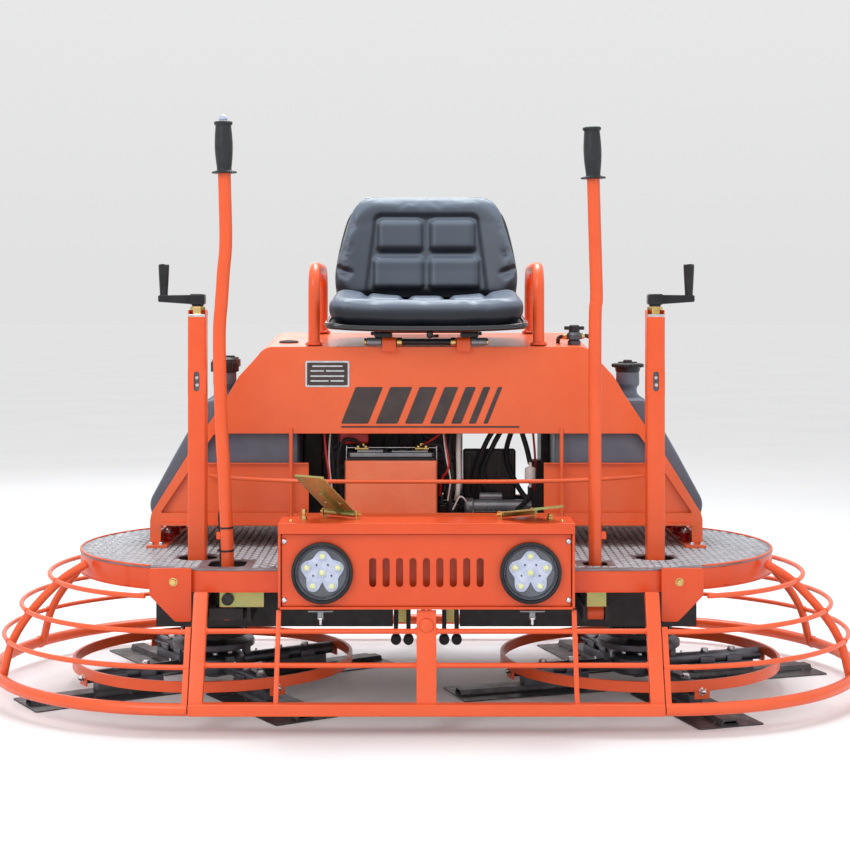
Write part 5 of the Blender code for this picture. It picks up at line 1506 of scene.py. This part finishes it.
def make_blade(name, number, turn):
    """A trowel blade with its mounting bar, and the arm that carries it."""
    body = f"blade_{name}_{number + 1}"
    sheet = Shape()
    outline = softened([(0.1125, -0.0745), (0.4555, -0.0745), (0.4555, 0.0745), (0.1125, 0.0745)], 0.006)
    sheet.plate([outline], 0.0026, turn @ flat(0.0014), 0.0005)
    # The mounting bar is a shallow folded channel.
    fold = [
        (-0.02, 0.0024), (-0.0175, 0.0024), (-0.013, 0.0105), (0.013, 0.0105), (0.0175, 0.0024), (0.02, 0.0024),
        (0.015, 0.013), (-0.015, 0.013),
    ]
    across = turn @ Matrix.Translation((0.283, 0.0, 0.0)) @ turned(90, "Z") @ turned(90, "X")
    sheet.plate([fold], 0.325, across, 0.0004)
    sheet.box((0.121, -0.0205, 0.0024), (0.445, 0.0205, 0.0046), 0.0006, turn)
    for x in (0.15, 0.215, 0.3, 0.36, 0.42):
        for y in (-0.023, 0.023):
            sheet.lathe(
                [(0.0, 0.0058), (0.003, 0.0054), (0.0046, 0.0038), (0.005, 0.0024), (0.0, 0.0024)],
                turn @ Matrix.Translation((x, y, 0.0)), 16,
            )
    sheet.make(f"trowel_{name}_{number + 1}", BLADE, body, replaces=[body])
    arm = Shape()
    hexagon = [
        (0.0, 0.0715), (0.0128, 0.0715), (0.014, 0.073), (0.014, 0.15), (0.014, 0.311), (0.0125, 0.3128), (0.0, 0.3128),
    ]
    arm.lathe(hexagon, turn @ Matrix.Translation((0, 0, ARM_Z)) @ turned(90, "Y"), 32)
    arm.box((0.133, -0.0165, 0.012), (0.291, 0.0165, 0.035), 0.0022, turn)
    for x in (0.17, 0.24):
        arm.box((x - 0.02, -0.0185, 0.033), (x + 0.02, 0.0185, 0.05), 0.004, turn)
        arm.rod(turn @ Vector((x, 0.0, 0.056)), turn @ Vector((x, 0.0, 0.0612)), 0.0105)
    arm.box((0.0765, -0.0095, ARM_Z), (0.0915, 0.0095, 0.0725), 0.002, turn)
    arm.rod(turn @ Vector((0.084, 0.0, 0.069)), turn @ Vector((0.084, 0.0, 0.0728)), 0.006)
    arm.make(f"trowel_arm_{name}_{number + 1}", ARM, body)
    bolts = Shape()
    for x in (0.17, 0.24):
        bolts.hex_bolt(turn @ Vector((x, 0.0, 0.06)), (0, 0, 1), 0.0085)
    grease = turn @ Vector((0.11, 0.0, 0.0595))
    bolts.rod(grease, grease + Vector((0, 0, 0.006)), 0.003, 0.002)
    bolts.make(f"trowel_bolts_{name}_{number + 1}", BRIGHT, body)


# ---------------------------------------------------------------- steering levers

LEVER_Y = -0.295
LEVER_LINES = {
    "left": [
        (-0.429, 0.24), (-0.429, 0.327), (-0.436, 0.499), (-0.443, 0.629), (-0.447, 0.806), (-0.442, 0.888),
        (-0.438, 0.95), (-0.433, 1.018), (-0.4385, 1.273),
    ],
    "right": [(0.364, 0.24), (0.364, 0.806), (0.367, 0.888), (0.366, 0.95), (0.357, 1.261)],
}
GRIP_LENGTH = 0.112


def make_levers():
    for name, side in SIDES:
        body = f"lever_{name}"
        path = [Vector((x, LEVER_Y, z)) for x, z in LEVER_LINES[name]]
        end = path[-1]
        foot = end + (path[-2] - end).normalized() * GRIP_LENGTH
        line = smooth_path(path[:-1] + [foot], 7)
        pivot = Vector((path[0].x, LEVER_Y, 0.215))
        stem = Shape().tube(line, 0.014, 28)
        reach = Vector((0.0, 0.016, 0.0)) if side < 0 else Vector((0.0185, 0.0, 0.0))
        stem.rod(pivot - reach, pivot + reach, 0.016, edge=0.001, steps=32)
        stem.rod(pivot, path[0] + Vector((0.0, 0.0, 0.006)), 0.011)
        bead(stem, path[0] + Vector((0.0, 0.0, 0.001)), (0, 0, 1), 0.0125, 0.0026)
        lug_x = path[0].x + (0.018 if side > 0 else -0.018)
        stem.box((lug_x - 0.006, LEVER_Y - 0.004, 0.372), (lug_x + 0.006, LEVER_Y + 0.004, 0.388), 0.0012)
        stem.make(f"lever_tube_{name}", ORANGE, body, replaces=[body])
        make_grip(name, foot, end)
        if side < 0:
            make_lever_cable(line)


def make_grip(name, foot, end):
    length = (end - foot).length
    place = along(foot, end)
    grip = [
        (0.0, 0.0008), (0.0262, 0.0008), (0.0272, 0.0018), (0.0272, 0.0032), (0.026, 0.0044), (0.017, 0.0062),
        (0.0156, 0.009),
    ]
    ribs = 20
    for i in range(ribs):
        share = i / (ribs - 1)
        z = 0.012 + share * (length - 0.023)
        swell = 0.0157 + 0.003 * math.sin(math.pi * share) + 0.0013 * share
        grip += [(swell, z - 0.0013), (swell + 0.0003, z), (swell, z + 0.0013)]
    grip += [(0.0172, length - 0.0078), (0.0194, length - 0.0062), (0.02, length - 0.0045), (0.02, length - 0.0014)]
    if name == "left":
        grip += [
            (0.0188, length), (0.0098, length), (0.0092, length - 0.001), (0.0092, length - 0.0085),
            (0.0, length - 0.0085),
        ]
    else:
        grip += [(0.0186, length), (0.0, length + 0.0004)]
    Shape().lathe(grip, place, 48).make(
        f"lever_grip_ribbed_{name}", GRIP, f"lever_{name}", replaces=[f"lever_grip_{name}"],
    )
    if name == "left":
        button = [
            (0.0, 0.0158), (0.0036, 0.0152), (0.0066, 0.0134), (0.0088, 0.0104), (0.0098, 0.007), (0.01, 0.0046),
            (0.0078, 0.0046),
            (0.0078, -0.0058), (0.0, -0.0058),
        ]
        profile = [(radius, length + height) for radius, height in button]
        Shape().lathe(profile, place, 32).make(
            "spray_button_turned", BOARD, "spray_button", replaces=["spray_button"], slot="arm_steel",
        )
        collar = [
            (0.0092, length - 0.002), (0.0112, length - 0.002), (0.0112, length + 0.0016), (0.0092, length + 0.0016),
        ]
        Shape().lathe(collar, place, 32, closed=True).make("spray_button_collar", BRIGHT, "lever_left")


def make_lever_cable(line):
    """The button's cable, held to the back of the left lever by ties."""
    shift = Vector((-0.0158, 0.0035, 0.0))
    route = [point + shift for point in line if 0.252 < point.z < 0.428]
    route.append(route[-1] + Vector((0.004, 0.001, 0.012)))
    route.append(route[-1] + Vector((0.0065, 0.0, 0.005)))
    cable = Shape().tube(smooth_path(route, 3), 0.0021, 12)
    cable.lathe(
        [(0.0, 0.0), (0.0046, 0.0), (0.0046, 0.0022), (0.0034, 0.0034), (0.0, 0.0034)],
        along(route[-1] + Vector((0.003, 0.0, 0.0)), route[-1] - Vector((0.01, 0.0, 0.0))), 20,
    )
    cable.make("lever_cable", RUBBER, "lever_left")
    ties = Shape()
    for z in (0.348, 0.392):
        at = min(line, key=lambda point: abs(point.z - z))
        near = line[line.index(at) + 1]
        band = [(0.0143, -0.002), (0.0152, -0.002), (0.0152, 0.002), (0.0143, 0.002)]
        ties.lathe(band, along(at, near), 28, closed=True)
        loop = [(0.0024, -0.0018), (0.0032, -0.0018), (0.0032, 0.0018), (0.0024, 0.0018)]
        ties.lathe(loop, along(at + shift, near + shift), 16, closed=True)
        ties.box(at + Vector((-0.0215, -0.003, -0.0026)), at + Vector((-0.0175, 0.003, 0.0026)), 0.0006)
    ties.make("lever_cable_ties", BLACK, "lever_left")


# ---------------------------------------------------------------- seat

HINGE_Y = -0.056
HINGE_Z = 0.792
# Rows of the pan: half-width, y, z, then how far its sides rise and come forward.
PAN_ROWS = (
    (0.204, -0.112, 0.823, 0.005, 0.0), (0.225, -0.085, 0.821, 0.01, 0.0), (0.225, 0.06, 0.823, 0.02, 0.0),
    (0.215, 0.19, 0.83, 0.036, 0.0), (0.212, 0.236, 0.87, 0.02, 0.018), (0.216, 0.258, 0.96, 0.0, 0.03),
    (0.19, 0.282, 1.08, 0.0, 0.024), (0.16, 0.288, 1.12, 0.0, 0.014),
)


def read(rows, key, at):
    """The row at a place: rows are interpolated by their column key, and the ends carry on straight."""
    for first, second in zip(rows, rows[1:]):
        if at <= second[key] or second is rows[-1]:
            share = (at - first[key]) / (second[key] - first[key])
            return [a + (b - a) * share for a, b in zip(first, second)]


def on_pan(x, y, lift):
    """A point of the cushion at the height lift above the pan."""
    row = read(PAN_ROWS[:4], 1, y)
    curl = abs(x / row[0]) ** 3
    return Vector((x, y, row[2] + row[3] * curl + lift))


def on_back(x, z, lift):
    """A point of the back pad at the distance lift in front of the shell."""
    row = read(PAN_ROWS[4:], 2, z)
    curl = min(1.2, abs(x / row[0])) ** 3
    return Vector((x, row[1] - row[4] * curl - lift, z))


def step(value, width):
    """0 below, 1 above, smooth across the width about zero."""
    t = min(1.0, max(0.0, value / width + 0.5))
    return t * t * (3 - 2 * t)


def inside_box(x, y, box, corner):
    """How far a point lies inside a box with rounded corners; negative outside."""
    x0, x1, y0, y1 = box
    dx = abs(x - (x0 + x1) / 2) - (x1 - x0) / 2 + corner
    dy = abs(y - (y0 + y1) / 2) - (y1 - y0) / 2 + corner
    return corner - math.hypot(max(dx, 0.0), max(dy, 0.0)) - min(max(dx, dy), 0.0)


def crown(distance, height, reach):
    """The height of a crowned field at a distance inside its edge."""
    if distance <= 0:
        return 0.0
    share = min(1.0, distance / reach)
    return height * math.sqrt(1 - (1 - share) ** 2)


def crease(x, y, start, end, depth, width):
    """A short fold that fades towards its ends."""
    line = Vector(end) - Vector(start)
    share = (Vector((x, y)) - Vector(start)).dot(line) / line.length_squared
    near = Vector(start) + line * min(1.0, max(0.0, share))
    gap = (Vector((x, y)) - near).length
    fade = math.sin(math.pi * min(1.0, max(0.0, share * 0.9 + 0.05)))
    return depth * fade * math.exp(-(gap / width) ** 2)


def pad(name, outline, thickness, cap, carve, place):
    """A stuffed pad: a flat body is remeshed, blown up as cloth, carved with its channels, and set in place."""
    made = placed(name, Shape().plate([outline], thickness - 0.016, flat(thickness / 2), 0.014).mesh(name))
    remesh = made.modifiers.new("Remesh", "REMESH")
    remesh.mode = "VOXEL"
    remesh.voxel_size = 0.0048
    freeze(made)
    start = [vertex.co.copy() for vertex in made.data.vertices]
    cloth = made.modifiers.new("Cloth", "CLOTH")
    cloth.settings.use_pressure = True
    cloth.settings.uniform_pressure_force = 4.0
    cloth.settings.effector_weights.gravity = 0.0
    cloth.point_cache.frame_start = 1
    cloth.point_cache.frame_end = 20
    for number in range(1, 21):
        bpy.context.scene.frame_set(number)
    freeze(made)
    bpy.context.scene.frame_set(1)
    for vertex, before in zip(made.data.vertices, start):
        move = vertex.co - before
        if move.length > cap:
            vertex.co = before + move * (cap / move.length)
    for vertex in made.data.vertices:
        x, y, lift = vertex.co
        front = step(lift - thickness * 0.62, thickness * 0.3)
        lift += carve(x, y) * front
        vertex.co = place(x, y, max(0.0015, lift))
    made.data.materials.clear()
    made.data.materials.append(VINYL)
    made.data.shade_smooth()
    smooth = made.modifiers.new("Smooth", "SMOOTH")
    smooth.iterations = 2
    smooth.factor = 0.4
    divide = made.modifiers.new("Subdivision", "SUBSURF")
    divide.levels = 1
    divide.render_levels = 1
    return made


def freeze(made):
    """Turns the modifiers of an object into its mesh."""
    bpy.context.view_layer.update()
    graph = bpy.context.evaluated_depsgraph_get()
    mesh = bpy.data.meshes.new_from_object(made.evaluated_get(graph))
    made.modifiers.clear()
    made.data = mesh


def back_relief(x, z):
    """The recessed panel of the back pad, its four fields and the fold on each side."""
    widen = 0.124 + 0.0235 * (1.096 - z) / 0.191
    panel = inside_box(x * 0.124 / widen, z, (-0.124, 0.124, 0.86, 1.096), 0.012)
    relief = -0.0085 * step(panel - 0.003, 0.01)
    relief -= 0.006 * math.exp(-((panel - 0.001) / 0.0032) ** 2)
    for sign in (-1, 1):
        for box in ((0.0085, 0.1205, 1.008, 1.088), (0.0065, 0.1305, 0.913, 0.995)):
            field = inside_box(sign * x, z, box, 0.013)
            relief += crown(field, 0.0125, 0.015)
        relief -= crease(sign * x, z, (0.226, 0.97), (0.18, 0.952), 0.0125, 0.005)
        relief -= crease(sign * x, z, (0.214, 0.954), (0.188, 0.942), 0.0085, 0.0046)
    return relief


def cushion_relief(x, y):
    """The recessed middle of the cushion and its three long fields."""
    panel = inside_box(x, y, (-0.15, 0.15, -0.05, 0.17), 0.02)
    relief = -0.008 * step(panel - 0.003, 0.012) - 0.003 * math.exp(-((panel - 0.001) / 0.0035) ** 2)
    for left, right in ((-0.14, -0.056), (-0.042, 0.042), (0.056, 0.14)):
        for front, back in ((-0.042, 0.052), (0.064, 0.165)):
            relief += crown(inside_box(x, y, (left, right, front, back), 0.012), 0.011, 0.015)
    return relief


def make_seat():
    outline = softened(
        [(-0.215, -0.104), (0.215, -0.104), (0.217, 0.06), (0.207, 0.172), (-0.207, 0.172), (-0.217, 0.06)], 0.045, 8,
    )
    cushion = pad(
        "seat_cushion_vinyl", outline, 0.062, 0.008, cushion_relief, lambda x, y, lift: on_pan(x, y, lift + 0.006),
    )
    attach(cushion, "seat")
    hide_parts("seat_cushion")
    half = [(0.168, 1.136), (0.193, 1.052), (0.217, 0.965), (0.216, 0.9)]
    outline = softened(half + [(-x, z) for x, z in reversed(half)], 0.052, 8)
    back = pad("seat_back_vinyl", outline, 0.044, 0.008, back_relief, lambda x, z, lift: on_back(x, z, lift + 0.004))
    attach(back, "seat")
    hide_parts("seat_back")
    make_pan()


def make_pan():
    """The black shell behind the pads, with a rolled rim."""
    rows = []
    for row in smooth_rows(PAN_ROWS + ((0.146, 0.2895, 1.137, 0.0, 0.008),), 5):
        half, y, z, rise, forward = row
        line = []
        for i in range(25):
            share = -1 + i / 12
            curl = abs(share) ** 3
            line.append(Vector((half * share, y - forward * curl, z + rise * curl)))
        rows.append(line)
    bm = bmesh.new()
    grid = [[bm.verts.new(point) for point in line] for line in rows]
    for first, second in zip(grid, grid[1:]):
        for i in range(24):
            bm.faces.new((first[i], first[i + 1], second[i + 1], second[i]))
    mesh = bpy.data.meshes.new("seat_shell_sheet")
    bm.to_mesh(mesh)
    bm.free()
    sheet = placed("seat_shell_sheet", mesh)
    solid = sheet.modifiers.new("Solidify", "SOLIDIFY")
    solid.thickness = 0.0045
    solid.offset = 1.0
    freeze(sheet)
    shell = Shape()
    shell.bm.from_mesh(sheet.data)
    bpy.data.objects.remove(sheet)
    border = [line[0] for line in rows] + rows[-1][1:-1] + [line[-1] for line in reversed(rows)] + rows[0][-2:0:-1]
    rim = Shape().tube(border, 0.0072, 16, closed=True)
    rim.make("seat_shell_rim", GLOSS, "seat", sharp=60)
    for x in (-0.11, 0.0, 0.11):
        shell.tube([on_back(x, z, -0.0035) for z in (0.885, 0.93, 0.98, 1.03, 1.08, 1.115)], 0.006, 12)
    shell.make("seat_shell", BLACK, "seat", replaces=["seat_pan"], sharp=60)


def smooth_rows(rows, steps):
    """More rows between the given ones, on smooth curves."""
    ends = [[2 * a - b for a, b in zip(rows[0], rows[1])]] + [list(row) for row in rows]
    ends.append([2 * a - b for a, b in zip(rows[-1], rows[-2])])
    result = []
    for a, b, c, d in zip(ends, ends[1:], ends[2:], ends[3:]):
        for k in range(steps):
            t = k / steps
            result.append([
                0.5 * (2 * q + (r - p) * t + (2 * p - 5 * q + 4 * r - s) * t * t + (3 * q - p - 3 * r + s) * t ** 3)
                for p, q, r, s in zip(a, b, c, d)
            ])
    return result + [list(rows[-1])]


def make_seat_base():
    base = Shape()
    base.rod((-0.14, HINGE_Y, HINGE_Z), (0.14, HINGE_Y, HINGE_Z), 0.007, steps=24)
    for _, side in SIDES:
        base.box((side * 0.085, HINGE_Y + 0.01, 0.8075), (side * 0.105, 0.29, 0.8148), 0.0015)
        base.box((side * 0.078, HINGE_Y - 0.012, 0.803), (side * 0.12, HINGE_Y + 0.016, 0.8148), 0.003)
        base.box((side * 0.1, HINGE_Y + 0.0085, HINGE_Z - 0.006), (side * 0.118, HINGE_Y + 0.016, 0.81), 0.0015)
        base.box((side * 0.08, HINGE_Y + 0.004, 0.807), (side * 0.128, HINGE_Y + 0.04, 0.8148), 0.002)
    for y in (0.15, 0.27):
        base.box((-0.095, y - 0.012, 0.8085), (0.095, y + 0.012, 0.814), 0.0012)
    base.make("seat_tipping_frame", BLACK, "seat_base", replaces=["seat_base"], slot="dark_paint")
    sleeves = Shape()
    collars = Shape()
    for _, side in SIDES:
        sleeves.rod((side * 0.103, HINGE_Y, HINGE_Z), (side * 0.137, HINGE_Y, HINGE_Z), 0.0095, edge=0.001, steps=32)
        for near, far, radius in ((0.056, 0.068, 0.01), (0.1372, 0.1425, 0.0085)):
            collars.rod((side * near, HINGE_Y, HINGE_Z), (side * far, HINGE_Y, HINGE_Z), radius, edge=0.001, steps=32)
    sleeves.make("seat_hinge_sleeves", GREY, "seat_base")
    collars.make("seat_hinge_collars", BRASS, "seat_base")
    lugs = Shape()
    for _, side in SIDES:
        lugs.box((side * 0.0695, HINGE_Y - 0.0105, 0.77), (side * 0.1015, HINGE_Y + 0.0105, HINGE_Z), 0.0012)
        lugs.rod((side * 0.0695, HINGE_Y, HINGE_Z), (side * 0.1015, HINGE_Y, HINGE_Z), 0.0105, edge=0.0012, steps=32)
    lugs.make("seat_hinge_lugs", ORANGE)
    rails = Shape()
    for _, side in SIDES:
        rails.box((side * 0.083, -0.095, 0.816), (side * 0.107, 0.17, 0.823), 0.0012)
        rails.box((side * 0.092, -0.102, 0.8153), (side * 0.12, -0.07, 0.8235), 0.0025)
    rails.box((0.0, -0.05, 0.8153), (0.06, -0.02, 0.8235), 0.003)
    rails.make("seat_slides", BLACK, "seat")
    pivot = Vector((0.02, -0.02, 0.805))
    lever = Shape()
    lever.tube(
        smooth_path([pivot, pivot + Vector((-0.004, -0.03, 0.0)), pivot + Vector((-0.011, -0.084, 0.0016))]), 0.0034,
        14,
    )
    profile = [(0.008 * math.sin(math.pi * i / 10), -0.008 * math.cos(math.pi * i / 10)) for i in range(11)]
    lever.lathe(
        [(max(0.0, radius), height) for radius, height in profile],
        Matrix.Translation(pivot + Vector((-0.012, -0.092, 0.004))), 24,
    )
    lever.rod(pivot - Vector((0, 0, 0.0034)), pivot + Vector((0, 0, 0.0034)), 0.009)
    lever.make("seat_adjuster", BLACK, "seat_adjust_lever", replaces=["seat_adjust_lever"])


# ---------------------------------------------------------------- stage

def area_light(name, at, target, size, power, colour=(1.0, 1.0, 1.0)):
    lamp = bpy.data.lights.new(name, "AREA")
    lamp.size = size
    lamp.energy = power
    lamp.color = colour
    made = placed(name, lamp)
    made.location = at
    made.rotation_mode = "QUATERNION"
    made.rotation_quaternion = (Vector(target) - Vector(at)).to_track_quat("-Z", "Y")


def make_stage():
    mesh = Shape().rod((0, 0, -0.02), (0, 0, -0.0002), 60.0, steps=96).mesh("studio_floor")
    made = placed("studio_floor", mesh)
    pale = finish(
        "studio_pale", (0.8, 0.8, 0.81), (0.83, 0.83, 0.835), (0.6, 0.72), scale=1.5,
        bumps=((NOISE, 40.0, 0.03, 0.001),),
    )
    mesh.materials.append(pale)

    world = bpy.data.worlds.new("studio")
    bpy.context.scene.world = world
    world.use_nodes = True
    tree = world.node_tree
    place = tree.nodes.new("ShaderNodeTexCoord").outputs["Generated"]
    height = tree.nodes.new("ShaderNodeSeparateXYZ")
    tree.links.new(place, height.inputs[0])
    ramp = tree.nodes.new("ShaderNodeValToRGB")
    ramp.color_ramp.elements[0].position = 0.02
    ramp.color_ramp.elements[0].color = (0.8, 0.8, 0.805, 1.0)
    ramp.color_ramp.elements[1].position = 0.65
    ramp.color_ramp.elements[1].color = (1.0, 1.0, 1.0, 1.0)
    tree.links.new(height.outputs["Z"], ramp.inputs[0])
    tree.links.new(ramp.outputs[0], tree.nodes["Background"].inputs["Color"])
    tree.nodes["Background"].inputs["Strength"].default_value = 0.95
    area_light("key", (-2.0, -3.2, 3.4), (0, 0, 0.7), 2.0, 60)
    area_light("fill", (3.2, -3.0, 1.8), (0, 0, 0.6), 2.4, 14)
    area_light("top", (0.1, 1.0, 3.2), (0, 0, 0.6), 1.5, 85, (0.9, 0.95, 1.0))
    area_light("rear", (-1.5, 4.0, 2.6), (0, 0, 0.5), 2.5, 25)
    bpy.context.scene.view_settings.view_transform = "Standard"

    lens = bpy.data.cameras.new("camera")
    lens.lens = 72.7
    lens.shift_y = -0.147
    camera = placed("camera", lens)
    camera.location = (-0.003, -4.0, 0.888)
    camera.rotation_euler = (math.radians(90), 0.0, 0.0)
    bpy.context.scene.camera = camera


make_stage()
make_deck()
make_guards()
make_gate()
make_lamp_box()
make_pedals()
make_seat_frames()
make_tanks()
make_armrests()
make_valve()
make_battery()
make_engine_bay()
make_under_frame()
make_gearboxes()
make_cranks()
make_rotors()
make_levers()
make_seat_base()
make_seat()
